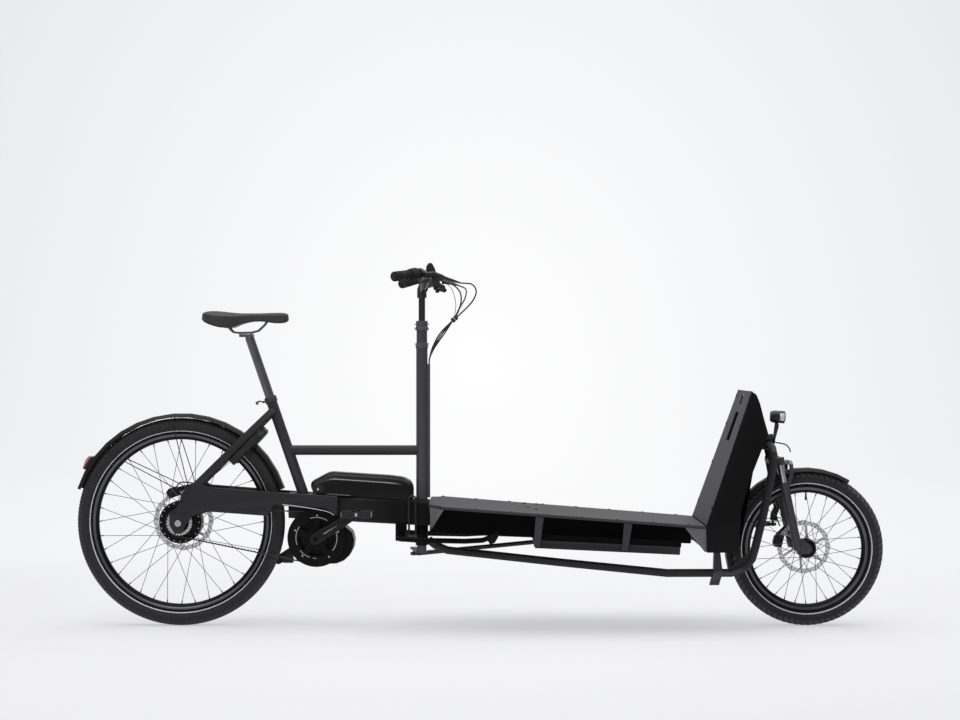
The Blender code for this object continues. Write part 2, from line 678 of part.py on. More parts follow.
def stay_outline():
    """Side view of a chainstay plate, from the dropout to its end beside the main beam."""
    x, z = REAR_AXLE.x, REAR_AXLE.z
    end = CRANK_AXIS.x + 71 * MM
    guard_top = CRANK_AXIS.z + GUARD_RADIUS + 5 * MM
    top = beam_top(end) + 1 * MM
    return [(x - 30 * MM, z + 30 * MM), (x - 30 * MM, z - 6 * MM), (x - 12 * MM, z - 36 * MM),
            (x + 12 * MM, z - 34 * MM), (x + 24 * MM, z - 6 * MM), (x + 46 * MM, z + 24 * MM),
            (x + 104 * MM, z + 38 * MM), (CRANK_AXIS.x - 160 * MM, z + 24 * MM),
            (CRANK_AXIS.x - 138 * MM, guard_top + 10 * MM),
            (CRANK_AXIS.x - 20 * MM, guard_top + 3 * MM), (CRANK_AXIS.x + 25 * MM, guard_top),
            (end, guard_top - 26 * MM), (end, top), (CRANK_AXIS.x - 65 * MM, z + 97 * MM), (x + 90 * MM, z + 120 * MM),
            (x + 62 * MM, z + 137 * MM), (x + 28 * MM, z + 116 * MM), (x + 10 * MM, z + 96 * MM),
            (x - 2 * MM, z + 56 * MM)]


def chainstay(name, side):
    """A chainstay plate with its dropout and the short yoke that joins it to the main beam."""
    inner, outer = sorted((side * STAY_Y, side * (STAY_Y + STAY_THICKNESS)))
    bm = bmesh.new()
    side_plate(bm, stay_outline(), inner, outer)
    made = make(name, bm, MATT_PAINT)
    soften(made, 2 * MM)
    rear = beam_rear_x()
    low, high = sorted((side * (BEAM_HALF_WIDTH + GAP), side * (STAY_Y + 8 * MM)))
    yoke = bmesh.new()
    yoke_low = CRANK_AXIS.z + GUARD_RADIUS + 12 * MM
    box(yoke, (rear + 2 * MM, low, yoke_low), (rear + 120 * MM, high, beam_top(rear + 120 * MM) - 6 * MM))
    unite(made, yoke, name + "_yoke")
    hole = bmesh.new()
    rod(hole, REAR_AXLE + Vector((0, inner - 10 * MM, 0)), REAR_AXLE + Vector((0, outer + 10 * MM, 0)),
        AXLE_RADIUS + GAP, 18)
    cut(made, hole, name + "_axle_hole")


def upper_frame():
    """Seat tube, top tube and fixed column tube, welded together and standing on the main beam."""
    top = SEAT_TUBE_LENGTH
    bm = bmesh.new()
    turned(bm, [(0, -30 * MM), (SEAT_TUBE_RADIUS, -30 * MM), (SEAT_TUBE_RADIUS, top - 22 * MM),
                (SEAT_TUBE_RADIUS + 3 * MM, top - 20 * MM), (SEAT_TUBE_RADIUS + 3 * MM, top - 3 * MM),
                (SEAT_TUBE_RADIUS, top), (0, top)], seat_point(0), SEAT_UP, 20, bored=False)
    made = make("upper_frame", bm, MATT_PAINT)
    column = bmesh.new()
    turned(column, [(0, BEAM_FRONT_TOP - 30 * MM), (COLUMN_RADIUS, BEAM_FRONT_TOP - 30 * MM),
                    (COLUMN_RADIUS, COLUMN_TOP - 9 * MM), (COLUMN_RADIUS + 2 * MM, COLUMN_TOP - 9 * MM),
                    (COLUMN_RADIUS + 2 * MM, COLUMN_TOP), (0, COLUMN_TOP)], (COLUMN_X, 0, 0), (0, 0, 1), 18,
           bored=False)
    unite(made, column, "column_tube")
    strip = bmesh.new()
    face = COLUMN_X + COLUMN_RADIUS
    box(strip, (face - 4 * MM, -7 * MM, BEAM_FRONT_TOP + 8 * MM),
        (face + 9 * MM, 7 * MM, COLUMN_TOP - 62 * MM))
    unite(made, strip, "cable_cover")
    level = bmesh.new()
    start = SEAT_TUBE_FOOT_X - (TOP_TUBE_Z - beam_top(SEAT_TUBE_FOOT_X)) * tan(SEAT_TUBE_LEAN)
    rod(level, (start, 0, TOP_TUBE_Z), (COLUMN_X, 0, TOP_TUBE_Z), TOP_TUBE_RADIUS, 16)
    unite(made, level, "top_tube")
    below = bmesh.new()
    reach = 150 * MM
    x_low, x_high = SEAT_TUBE_FOOT_X - reach, COLUMN_X + reach
    side_plate(below, [(x_low, beam_top(x_low) + GAP), (x_low, beam_top(x_low) - reach),
                       (x_high, beam_top(x_high) - reach), (x_high, beam_top(x_high) + GAP)], -reach, reach)
    cut(made, below, "frame_feet")
    bores = bmesh.new()
    rod(bores, seat_point(-60 * MM), seat_point(top + 20 * MM), SEAT_TUBE_BORE, 20)
    rod(bores, (COLUMN_X, 0, BEAM_FRONT_TOP - 60 * MM), (COLUMN_X, 0, COLUMN_TOP + 20 * MM), COLUMN_BORE, 20)
    cut(made, bores, "frame_bores")


def seat_tube_cutter(bm):
    """The space that the seat tube takes, with a gap all round."""
    rod(bm, seat_point(-20 * MM), seat_point(SEAT_TUBE_LENGTH + 60 * MM), SEAT_TUBE_RADIUS + 2 * GAP, 20)


def seat_stays():
    """Two stays from the seat tube's sides down to the chainstays."""
    bm = bmesh.new()
    top = seat_point(SEAT_TUBE_LENGTH - SEAT_STAY_HEAD_DROP)
    foot_x = REAR_AXLE.x + SEAT_STAY_FOOT_X
    foot_z = REAR_AXLE.z + SEAT_STAY_FOOT_UP
    for side in (1, -1):
        foot_y = side * (STAY_Y + STAY_THICKNESS / 2)
        foot = Vector((foot_x, foot_y, foot_z))
        head = top + Vector((0, side * 21 * MM, 0))
        run = foot - head
        knee = head + run * 0.24
        knee.y = side * 47 * MM
        sweep(bm, smooth_path([head, knee, head + run * 0.62 + Vector((0, side * 9 * MM, 0)),
                               foot - Vector((14 * MM, 0, 14 * MM))], 2),
              rectangle(SEAT_STAY_THICKNESS, SEAT_STAY_WIDTH, 4 * MM), up=(1, 0, 0))
    made = make("seat_stays", bm, MATT_PAINT)
    bridge = bmesh.new()
    middle = top + (Vector((foot_x, 0, foot_z)) - top) * 0.16
    rod(bridge, middle - Vector((0, 38 * MM, 0)), middle + Vector((0, 38 * MM, 0)), 7 * MM, 16)
    unite(made, bridge, "seat_stay_bridge")
    tool = bmesh.new()
    seat_tube_cutter(tool)
    cut(made, tool, "seat_stays_head")
    floor = bmesh.new()
    side_plate(floor, [(x, z + GAP) for x, z in stay_outline()],
               -150 * MM, 150 * MM)
    cut(made, floor, "seat_stays_foot")


def bed_beam():
    """Box beam under the load bed, butted against the main beam."""
    rear, front = BED_REAR_X + GAP, BED_FRONT_X - 30 * MM
    bm = bmesh.new()
    outline = [(rear, bed_beam_bottom(rear)), (front, bed_beam_bottom(front)),
               (front, bed_top(front) - BED_THICKNESS - GAP), (rear, bed_top(rear) - BED_THICKNESS - GAP)]
    side_plate(bm, outline, -BED_BEAM_HALF_WIDTH, BED_BEAM_HALF_WIDTH)
    made = make("bed_beam", bm, MATT_PAINT)
    soften(made, 3 * MM)
    unite(made, rear_gussets(), "rear_gussets")
    rod_clear = bmesh.new()
    low = BEARING_BOTTOM - 20 * MM
    rod(rod_clear, (COLUMN_X, 0, low), (COLUMN_X, 0, BED_REAR_TOP), BEARING_RADIUS + GAP, 24)
    cut(made, rod_clear, "bed_beam_bearing_clearance")


def rear_gussets():
    """Triangular plates from the beam's sides out to the load bed's rear corners."""
    bm = bmesh.new()
    sheet = 3 * MM
    under = BED_THICKNESS + GAP + 1 * MM
    corner_x = BED_REAR_X + BED_CORNER
    y_in = BED_BEAM_HALF_WIDTH - 5 * MM
    for side in (1, -1):
        corner = Vector((corner_x, side * (bed_half_width(corner_x) - 6 * MM), bed_top(corner_x) - under))
        rear_in = Vector((BED_REAR_X + 3 * MM, side * 165 * MM, bed_top(BED_REAR_X) - under))
        foot = Vector((BED_REAR_X + 3 * MM, side * y_in, BED_BEAM_REAR_BOTTOM + 12 * MM))
        head = Vector((BED_REAR_X + 3 * MM, side * y_in, bed_top(BED_REAR_X) - under))
        depth = Vector((sheet, 0, 0))
        wedge = [bm.verts.new(point) for point in (rear_in, head, foot, corner)]
        back = [bm.verts.new(point + depth) for point in (rear_in, head, foot, corner)]
        for a, b, c in ((0, 1, 2), (0, 2, 3)):
            bm.faces.new((wedge[a], wedge[b], wedge[c]))
            bm.faces.new((back[c], back[b], back[a]))
        for a, b in ((0, 1), (1, 2), (2, 3), (3, 0)):
            bm.faces.new((wedge[b], wedge[a], back[a], back[b]))
    return bm


def bed_panel():
    """Load bed: a sheet with chamfered rear corners and a lip folded down all round."""
    def outline(inset, z_offset):
        x_rear, x_front = BED_REAR_X + inset, BED_FRONT_X - inset
        shape = [(x_rear, 0.72), (x_rear + BED_CORNER, 1), (x_front, 1)]
        right = [(x, -share * bed_half_width(x) + inset) for x, share in shape]
        left = [(x, -y) for x, y in reversed(right)]
        return [Vector((x, y, bed_top(x) + z_offset)) for x, y in right + left]

    bm = bmesh.new()
    prism(bm, outline(0, -BED_THICKNESS), (0, 0, BED_THICKNESS))
    made = make("bed_panel", bm, BED_PAINT)
    pocket = bmesh.new()
    prism(pocket, outline(BED_SHEET, -BED_THICKNESS - 5 * MM), (0, 0, BED_THICKNESS - BED_SHEET + 5 * MM))
    cut(made, pocket, "bed_pocket")
    core = bmesh.new()
    half = BED_BEAM_HALF_WIDTH + 4 * MM
    rear, front = BED_REAR_X + 2 * MM, BED_FRONT_X - 2 * MM
    under = BED_THICKNESS
    side_plate(core, [(rear, bed_top(rear) - under), (front, bed_top(front) - under),
                      (front, bed_top(front) - 2 * MM), (rear, bed_top(rear) - 2 * MM)], -half, half)
    unite(made, core, "bed_backing")


def bed_down(x, depth):
    """A side-view place at a depth below and square to the load bed."""
    return x - depth * sin(BED_SLOPE), bed_top(x) - depth * cos(BED_SLOPE)


def bed_braces():
    """Side struts, lower strips and the cross bars between them, below the load bed."""
    bm = bmesh.new()
    front = BED_FRONT_X - 71 * MM
    rear = RIB_POSITIONS[0] - 6 * MM
    high = STRIP_DEPTH_BELOW_BED - STRIP_RISE
    outline = [bed_down(rear, STRIP_DEPTH_BELOW_BED + STRIP_HEIGHT), bed_down(rear, STRIP_DEPTH_BELOW_BED),
               bed_down(front, high), bed_down(front, high + STRIP_HEIGHT)]
    for side in (1, -1):
        side_plate(bm, outline, side * STRIP_Y - 2 * MM, side * STRIP_Y + 2 * MM)
    made = make("bed_braces", bm, MATT_PAINT)
    struts = bmesh.new()
    for x in RIB_POSITIONS:
        top_x, top_z = bed_down(x, BED_THICKNESS + GAP + 1 * MM)
        strip = STRIP_DEPTH_BELOW_BED - STRIP_RISE * (x - rear) / (front - rear)
        low_x, low_z = bed_down(x, strip + STRIP_HEIGHT - 6 * MM)
        for side in (1, -1):
            head = Vector((top_x, side * (bed_half_width(x) - 12 * MM), top_z))
            foot = Vector((low_x, side * (STRIP_Y + 3 * MM), low_z))
            sweep(struts, [head, foot], rectangle(RIB_WIDTH, 5 * MM), up=(0, 1, 0), sizes=[1, 0.8])
    unite(made, struts, "bed_struts")
    bars = bmesh.new()
    pads = bmesh.new()
    for x in RIB_POSITIONS:
        middle, low = bed_down(x, CROSS_BAR_DEPTH)
        box(bars, (middle - 10 * MM, -STRIP_Y, low - 3 * MM), (middle + 10 * MM, STRIP_Y, low + 3 * MM))
        high = bed_beam_bottom(middle + 8 * MM) - GAP
        box(pads, (middle - 8 * MM, -30 * MM, low), (middle + 8 * MM, 30 * MM, high))
    unite(made, bars, "bed_cross_bars")
    unite(made, pads, "bed_bar_pads")


# Bulkhead

def bulkhead_point(along, out=0.0):
    """Side view: a place along the bulkhead's inner face from its foot, and out behind it."""
    foot_x, foot_z = BED_FRONT_X + 2 * MM, bed_top(BED_FRONT_X) + 2 * MM
    return (foot_x + along * sin(BULKHEAD_LEAN) + out * cos(BULKHEAD_LEAN),
            foot_z + along * cos(BULKHEAD_LEAN) - out * sin(BULKHEAD_LEAN))


def bulkhead_half_width(along):
    """Half the width of the tapering bulkhead."""
    share = along / BULKHEAD_LENGTH
    return BED_FRONT_HALF_WIDTH + (BULKHEAD_TOP_HALF_WIDTH - BED_FRONT_HALF_WIDTH) * share


def bulkhead_panel():
    """Leaning front wall with two hand windows."""
    def corner(along, share):
        x, z = bulkhead_point(along)
        return Vector((x, share * (bulkhead_half_width(along) - BULKHEAD_SHEET - GAP), z))

    out = Vector((cos(BULKHEAD_LEAN), 0, -sin(BULKHEAD_LEAN)))
    bm = bmesh.new()
    top = BULKHEAD_LENGTH
    prism(bm, [corner(0, -1), corner(0, 1), corner(top, 1), corner(top, -1)], out * BULKHEAD_SHEET)
    made = make("bulkhead_panel", bm, BED_PAINT)
    windows = bmesh.new()
    for low, high, half in ((285 * MM, 385 * MM, 40 * MM), (411 * MM, 447 * MM, 20 * MM)):
        outline = []
        for along, y in ((low, -half), (low, half), (high, half), (high, -half)):
            x, z = bulkhead_point(along, -10 * MM)
            outline.append(Vector((x, y, z)))
        prism(windows, outline, out * 30 * MM)
    cut(made, windows, "bulkhead_windows")


def bulkhead_cheeks():
    """Side cheeks behind the bulkhead, with the floor strip and the cross bar between them."""
    bm = bmesh.new()
    foot_x = BED_FRONT_X - 4 * MM
    low_shift = bed_top(BED_FRONT_X) + 2 * MM
    shape = [(foot_x + 6 * MM, CHEEK_BOTTOM), (foot_x + 111 * MM, CHEEK_BOTTOM)]
    shape += [(foot_x + 120 * MM, CHEEK_BOTTOM + 139 * MM)]
    shape += [bulkhead_point(along, out) for along, out in ((180 * MM, CHEEK_DEPTH - 8 * MM),
                                                            (296 * MM, CHEEK_DEPTH - 2 * MM),
                                                            (346 * MM, CHEEK_DEPTH + 2 * MM),
                                                            (396 * MM, 62 * MM), (433 * MM, 38 * MM),
                                                            (456 * MM, 18 * MM), (460 * MM, 1 * MM))]
    shape += [bulkhead_point(0, 0.0)]
    for side in (1, -1):
        def place(x, z, inset):
            along = (z - low_shift) / cos(BULKHEAD_LEAN)
            return Vector((x, side * (bulkhead_half_width(along) - inset), z))
        outer = [place(x, z, 0) for x, z in shape]
        inner = [place(x, z, BULKHEAD_SHEET) for x, z in shape]
        loft(bm, [outer, inner] if side > 0 else [inner, outer])
    made = make("bulkhead_cheeks", bm, MATT_PAINT)
    floor_half = bulkhead_half_width((CHEEK_BOTTOM - low_shift) / cos(BULKHEAD_LEAN)) - 2 * MM
    floor = bmesh.new()
    box(floor, (foot_x + 8 * MM, -floor_half, CHEEK_BOTTOM + 1 * MM),
        (foot_x + 76 * MM, floor_half, CHEEK_BOTTOM + 4 * MM))
    front_x = foot_x + 12 * MM
    under = BED_THICKNESS + GAP
    for side in (1, -1):
        edge = side * (BED_FRONT_HALF_WIDTH - 2.5 * MM)
        rear_x = front_x - 76 * MM
        side_plate(floor, [(rear_x, bed_top(rear_x) - under), (front_x, bed_top(front_x) - under),
                           (front_x, CHEEK_BOTTOM + 2 * MM), (front_x - 12 * MM, CHEEK_BOTTOM + 2 * MM)],
                   edge - 1.5 * MM, edge + 1.5 * MM)
    unite(made, floor, "cheek_floor")


def head_tube():
    """Head tube with its cups, the cross bar between the cheeks that carries it, and the light's strap."""
    bm = bmesh.new()
    low, high = HEAD_TUBE_LOW, HEAD_TUBE_HIGH
    turned(bm, [(0, low), (HEAD_TUBE_RADIUS + 3 * MM, low), (HEAD_TUBE_RADIUS + 3 * MM, low + 9 * MM),
                (HEAD_TUBE_RADIUS, low + 11 * MM), (HEAD_TUBE_RADIUS, high - 11 * MM),
                (HEAD_TUBE_RADIUS + 3 * MM, high - 9 * MM), (HEAD_TUBE_RADIUS + 3 * MM, high), (0, high)],
           HEAD_POINT, FORK_UP, 18, bored=False)
    made = make("head_tube", bm, MATT_PAINT)
    bar_z = HEAD_POINT.z + 34 * MM
    along = (bar_z - bed_top(BED_FRONT_X)) / cos(BULKHEAD_LEAN)
    reach = bulkhead_half_width(along) - BULKHEAD_SHEET - 3 * MM
    bar_x = HEAD_POINT.x - 74 * MM
    bar = bmesh.new()
    box(bar, (bar_x - 16 * MM, -reach, bar_z - 18 * MM), (bar_x + 16 * MM, reach, bar_z + 18 * MM))
    unite(made, bar, "head_cross_bar")
    neck = bmesh.new()
    box(neck, (bar_x, -14 * MM, bar_z - 20 * MM), (HEAD_POINT.x - 14 * MM, 14 * MM, bar_z + 16 * MM))
    unite(made, neck, "head_neck")
    unite(made, light_bracket(), "light_bracket")
    bore = bmesh.new()
    rod(bore, fork_point(low - 20 * MM), fork_point(high + 20 * MM), FORK_STEERER_RADIUS + 2 * GAP, 16)
    cut(made, bore, "head_bore")


def rail_path():
    """Route of the lower rail: under the bed, outward to the right, past the wheel and up to the head."""
    side = -RAIL_SIDE
    bend, head = rail_bend_x(), HEAD_POINT
    return [(COLUMN_X + 22 * MM, -1 * MM, 287 * MM), (COLUMN_X + 46 * MM, -4 * MM, 268 * MM),
            (COLUMN_X + 86 * MM, -12 * MM, 252 * MM), ((COLUMN_X + bend) / 2 - 49 * MM, -95 * MM, 220 * MM),
            (bend - 210 * MM, side + 4 * MM, 192 * MM), (bend, side, 193 * MM),
            (bend + 46 * MM, side, 211 * MM), (bend + 67 * MM, side + 2 * MM, 238 * MM),
            (bend + 77 * MM, side + 5 * MM, 270 * MM), (bend + 108 * MM, side + 28 * MM, 379 * MM),
            (head.x - 8.7 * MM, side + 56 * MM, head.z - 39.7 * MM),
            (head.x - 6.7 * MM, side + 66 * MM, head.z + 4.3 * MM),
            (head.x - 6.7 * MM, side + 95 * MM, head.z + 23.3 * MM),
            (head.x - 7.7 * MM, side + 130 * MM, head.z + 26.3 * MM),
            (head.x - 8.7 * MM, -17 * MM, head.z + 26.3 * MM)]


def rail_bend_x():
    """Where the rail starts its bend upward, ahead of the bulkhead's foot."""
    return BED_FRONT_X + 89 * MM


def rail_tube():
    """Lower rail with the gusset in its bend and the foot that ties it to the bulkhead."""
    bm = bmesh.new()
    sweep(bm, rail_path(), circle(RAIL_RADIUS, 8), carried=True)
    made = make("rail_tube", bm, MATT_PAINT)
    gusset = bmesh.new()
    x, y = rail_bend_x(), -RAIL_SIDE
    side_plate(gusset, [(x - 15 * MM, 196 * MM), (x + 32 * MM, 200 * MM), (x + 64 * MM, 232 * MM),
                        (x + 76 * MM, 266 * MM), (x + 56 * MM, 262 * MM)], y - 2.5 * MM, y + 2.5 * MM)
    unite(made, gusset, "rail_gusset")
    foot = bmesh.new()
    side_plate(foot, [(x - 58 * MM, CHEEK_BOTTOM - GAP), (x - 60 * MM, 196 * MM), (x - 72 * MM, 154 * MM),
                      (x - 42 * MM, 154 * MM), (x - 30 * MM, 196 * MM), (x - 38 * MM, CHEEK_BOTTOM - GAP)],
               y - 12 * MM, y + 12 * MM)
    unite(made, foot, "rail_foot")
    tool = bmesh.new()
    rod(tool, (COLUMN_X, 0, 200 * MM), (COLUMN_X, 0, 340 * MM), BEARING_RADIUS + GAP, 24)
    rod(tool, fork_point(HEAD_TUBE_LOW - 30 * MM), fork_point(HEAD_TUBE_HIGH + 30 * MM),
        HEAD_TUBE_RADIUS + GAP / cos(pi / 24), 24)
    cut(made, tool, "rail_ends")


# Saddle

def seatpost():
    """Seatpost with its two-bolt head."""
    bm = bmesh.new()
    top = SEAT_TUBE_LENGTH + SEATPOST_SHOWN
    low = SEAT_TUBE_LENGTH - SEATPOST_INSERTED
    turned(bm, [(0, low), (SEATPOST_RADIUS, low), (SEATPOST_RADIUS, top - 14 * MM),
                (SEATPOST_RADIUS - 3 * MM, top), (0, top)], seat_point(0), SEAT_UP, 20, bored=False)
    made = make("seatpost", bm, DARK_ALLOY, seat_point(SEAT_TUBE_LENGTH))
    head = seat_point(top)
    clamp = bmesh.new()
    box(clamp, head + Vector((-30 * MM, -15 * MM, -8 * MM)), head + Vector((18 * MM, 15 * MM, 2 * MM)))
    unite(made, clamp, "seatpost_head")


def saddle_height():
    """Height of the saddle rails where the seatpost clamps them."""
    return seat_point(SEAT_TUBE_LENGTH + SEATPOST_SHOWN).z + 2 * MM + GAP + 4 * MM


def saddle_rail_path(extra=0.0):
    """One bent wire under the saddle: both rails, joined at the nose; extra lengthens its rear ends."""
    centre_x = seat_point(SEAT_TUBE_LENGTH + SEATPOST_SHOWN).x - SADDLE_SETBACK
    z = saddle_height()
    half = [(-62 * MM - extra, 30 * MM, 33 * MM + extra), (-52 * MM, 22 * MM, 12 * MM),
            (-42 * MM, 15 * MM, 2 * MM), (-25 * MM, 11 * MM, 0), (20 * MM, 11 * MM, 1 * MM),
            (42 * MM, 11 * MM, 7 * MM), (62 * MM, 10 * MM, 26 * MM), (74 * MM, 8 * MM, 42 * MM)]
    right = [Vector((centre_x + x, -y, z + rise)) for x, y, rise in half]
    left = [Vector((point.x, -point.y, point.z)) for point in reversed(right)]
    return right + left


def saddle_rails():
    """Bent wire rails under the saddle."""
    bm = bmesh.new()
    sweep(bm, saddle_rail_path(), circle(RAIL_WIRE_RADIUS, 6), carried=True)
    make("saddle_rails", bm, STEEL, seat_point(SEAT_TUBE_LENGTH))


def saddle():
    """Padded saddle: wide crowned rear, waist, and a narrow rounded nose."""
    centre_x = seat_point(SEAT_TUBE_LENGTH + SEATPOST_SHOWN).x - SADDLE_SETBACK
    base = saddle_height()
    stations = ((-143, 18, 62, 50), (-140, 46, 66, 44), (-128, 66, 71, 34), (-104, 77, 73, 24),
                (-74, 76, 71, 17), (-44, 58, 68, 18), (-14, 38, 66, 29), (20, 27, 66, 37), (56, 22, 66, 38),
                (92, 20, 67, 33), (122, 18, 67, 33), (138, 13, 64, 38), (143, 5, 58, 47))
    rings = []
    for along, half, crown, skirt in stations:
        x = centre_x + (along - 1) * MM
        ring = []
        for turn in np.linspace(0, pi, 7):
            rise = crown - (crown - skirt) * 0.42 * (1 - sin(turn))
            ring.append((x, half * MM * cos(turn), base + rise * MM))
        for share in (-0.96, -0.45, 0.45, 0.96):
            drop = skirt if abs(share) > 0.9 else skirt + 4
            ring.append((x, half * share * MM, base + drop * MM))
        rings.append(ring)
    bm = bmesh.new()
    loft(bm, rings)
    made = make("saddle", bm, RUBBER, seat_point(SEAT_TUBE_LENGTH))
    rails = bmesh.new()
    sweep(rails, saddle_rail_path(1 * MM), circle(RAIL_WIRE_RADIUS + 0.9 * MM, 6), carried=True)
    cut(made, rails, "saddle_rail_seats")


def seat_lever():
    """Quick lever of the seat clamp, on a pin behind the collar."""
    bm = bmesh.new()
    hinge = lever_hinge()
    rod(bm, hinge - Vector((0, 8 * MM, 0)), hinge + Vector((0, 8 * MM, 0)), 4 * MM, 12)
    made = make("seat_lever", bm, DARK_ALLOY, hinge)
    blade = bmesh.new()
    sweep(blade, [hinge, hinge + Vector((-14 * MM, 0, 3 * MM)), hinge + Vector((-22 * MM, -12 * MM, -1 * MM)),
                  hinge + Vector((-18 * MM, -34 * MM, -6 * MM))], rectangle(9 * MM, 4 * MM), up=(0, 0, 1))
    unite(made, blade, "seat_lever_blade")


def lever_hinge():
    """Pin of the seat clamp lever."""
    back = Vector((-cos(SEAT_TUBE_LEAN), 0, -sin(SEAT_TUBE_LEAN)))
    return seat_point(SEAT_TUBE_LENGTH - 11 * MM) + back * (SEAT_TUBE_RADIUS + 3 * MM + GAP + 4 * MM)


# Drive unit and battery

def motor_housing():
    """Drive unit hung under the main beam, bored for the crank axle, with its round cover on the left."""
    first = CRANK_AXIS
    second = CRANK_AXIS + Vector((50 * MM, 0, -14.5 * MM))
    top = beam_top(first.x) - BEAM_HEIGHT
    outline = arc((first.x, first.z), 80 * MM, radians(134), radians(256), 7)
    outline += arc((second.x, second.z), 74.5 * MM, radians(262), radians(384), 7)
    slope = tan(BEAM_SLOPE)
    neck_front, neck_rear = second.x + 22 * MM, first.x - 34 * MM
    outline += [(neck_front, top - (neck_front - first.x) * slope - GAP),
                (neck_rear, top - (neck_rear - first.x) * slope - GAP)]
    bm = bmesh.new()
    side_plate(bm, outline, -36 * MM, 64 * MM)
    made = make("motor_housing", bm, PLASTIC)
    soften(made, 4 * MM)
    bore = bmesh.new()
    reach = Vector((0, 90 * MM, 0))
    rod(bore, first - reach, first + reach, CRANK_AXLE_RADIUS + 2 * GAP, 18)
    cut(made, bore, "motor_bore")
    cover = bmesh.new()
    inner = CRANK_AXLE_RADIUS + 4 * GAP
    turned(cover, [(inner, 0), (70 * MM, 0), (70 * MM, 3 * MM), (64 * MM, 7 * MM), (30 * MM, 9 * MM),
                   (inner, 9 * MM)], CRANK_AXIS + Vector((0, 63 * MM, 0)), (0, 1, 0), 20)
    unite(made, cover, "motor_cover")


def battery():
    """Battery case on the main beam, with the lock block at its rear."""
    seat = BATTERY_SEAT + GAP
    rear, front = SEAT_TUBE_FOOT_X + 27 * MM, COLUMN_X - 26 * MM
    outline = [(rear + 16 * MM, beam_top(rear + 16 * MM) + seat), (front, beam_top(front) + seat),
               (front, beam_top(front) + 44 * MM), (front - 10 * MM, beam_top(front) + 60 * MM),
               (front - 34 * MM, beam_top(front) + 74 * MM), (rear + 72 * MM, beam_top(rear) + 76 * MM),
               (rear + 58 * MM, beam_top(rear) + 74 * MM), (rear + 2 * MM, beam_top(rear) + 43 * MM),
               (rear, beam_top(rear) + 36 * MM), (rear, beam_top(rear) + 20 * MM)]
    bm = bmesh.new()
    side_plate(bm, outline, -BATTERY_HALF_WIDTH, BATTERY_HALF_WIDTH)
    made = make("battery", bm, PLASTIC)
    soften(made, 6 * MM, 2)
    clear = bmesh.new()
    rod(clear, seat_point(-40 * MM), seat_point(160 * MM), SEAT_TUBE_RADIUS + 2 * MM, 24)
    cut(made, clear, "battery_clearance")


def battery_base():
    """Mounting rail screwed to the beam under the battery."""
    rear, front = SEAT_TUBE_FOOT_X + 74 * MM, COLUMN_X - 49 * MM
    bm = bmesh.new()
    side_plate(bm, [(rear, beam_top(rear) - 5 * MM), (front, beam_top(front) - 5 * MM),
                    (front, beam_top(front) + BATTERY_SEAT), (rear, beam_top(rear) + BATTERY_SEAT)],
               -28 * MM, 28 * MM)
    return bm


def crank_arms():
    """Crank axle with both arms clamped on it."""
    bm = bmesh.new()
    reach = CRANK_ARM_Y + CRANK_ARM_THICKNESS
    rod(bm, CRANK_AXIS - Vector((0, reach, 0)), CRANK_AXIS + Vector((0, reach, 0)), CRANK_AXLE_RADIUS, 18)
    made = make("crank_arms", bm, DARK_ALLOY, CRANK_AXIS)
    arms = bmesh.new()
    for side in (-1, 1):
        middle = side * (CRANK_ARM_Y + CRANK_ARM_THICKNESS / 2)
        end = pedal_axis(side)
        start = Vector((CRANK_AXIS.x, middle, CRANK_AXIS.z))
        tip = Vector((end.x, middle, end.z))
        along = (tip - start).normalized()
        across = Vector((-along.z, 0, along.x))
        outline = []
        for centre, radius, first, last in ((start, 17 * MM, 90, 270), (tip, 12 * MM, -90, 90)):
            for turn in np.linspace(radians(first), radians(last), 5):
                outline.append(centre + along * (radius * cos(turn)) + across * (radius * sin(turn))
                               - Vector((0, CRANK_ARM_THICKNESS / 2, 0)))
        prism(arms, outline, (0, CRANK_ARM_THICKNESS, 0))
    unite(made, arms, "crank_arm_blades")
    holes = bmesh.new()
    for side in (-1, 1):
        end = pedal_axis(side)
        rod(holes, end - Vector((0, 40 * MM, 0)), end + Vector((0, 40 * MM, 0)), 5.5 * MM + GAP, 12)
    cut(made, holes, "pedal_holes")


def pedal_axis(side):
    """Middle of a crank arm's pedal eye; the right-hand arm points forward and up."""
    reach = -side * CRANK_LENGTH
    return Vector((CRANK_AXIS.x + reach * cos(CRANK_ANGLE), side * (CRANK_ARM_Y + CRANK_ARM_THICKNESS / 2),
                   CRANK_AXIS.z + reach * sin(CRANK_ANGLE)))


def pedal(name, side):
    """Platform pedal: spindle, body and two end plates as one turning piece."""
    axis = pedal_axis(side)
    start = axis - Vector((0, side * (CRANK_ARM_THICKNESS / 2), 0))
    bm = bmesh.new()
    rod(bm, start, axis + Vector((0, side * 60 * MM, 0)), 5.5 * MM, 12)
    made = make(name, bm, PLASTIC, axis)
    inner = axis.y + side * (CRANK_ARM_THICKNESS / 2 + 7 * MM)
    low, high = sorted((inner, inner + side * PEDAL_WIDTH))
    body = bmesh.new()
    half, thick = PEDAL_LENGTH / 2, PEDAL_THICKNESS / 2
    for z_low, z_high in ((-half, -half + 34 * MM), (half - 34 * MM, half)):
        box(body, (axis.x + z_low, low, axis.z - thick), (axis.x + z_high, high, axis.z + thick))
    unite(made, body, name + "_body")
    plates = bmesh.new()
    for y in (low + 2 * MM, high - 14 * MM):
        box(plates, (axis.x - half + 10 * MM, y, axis.z - 8 * MM),
            (axis.x + half - 10 * MM, y + 12 * MM, axis.z + 8 * MM))
    unite(made, plates, name + "_plates")


# Steering column and cockpit

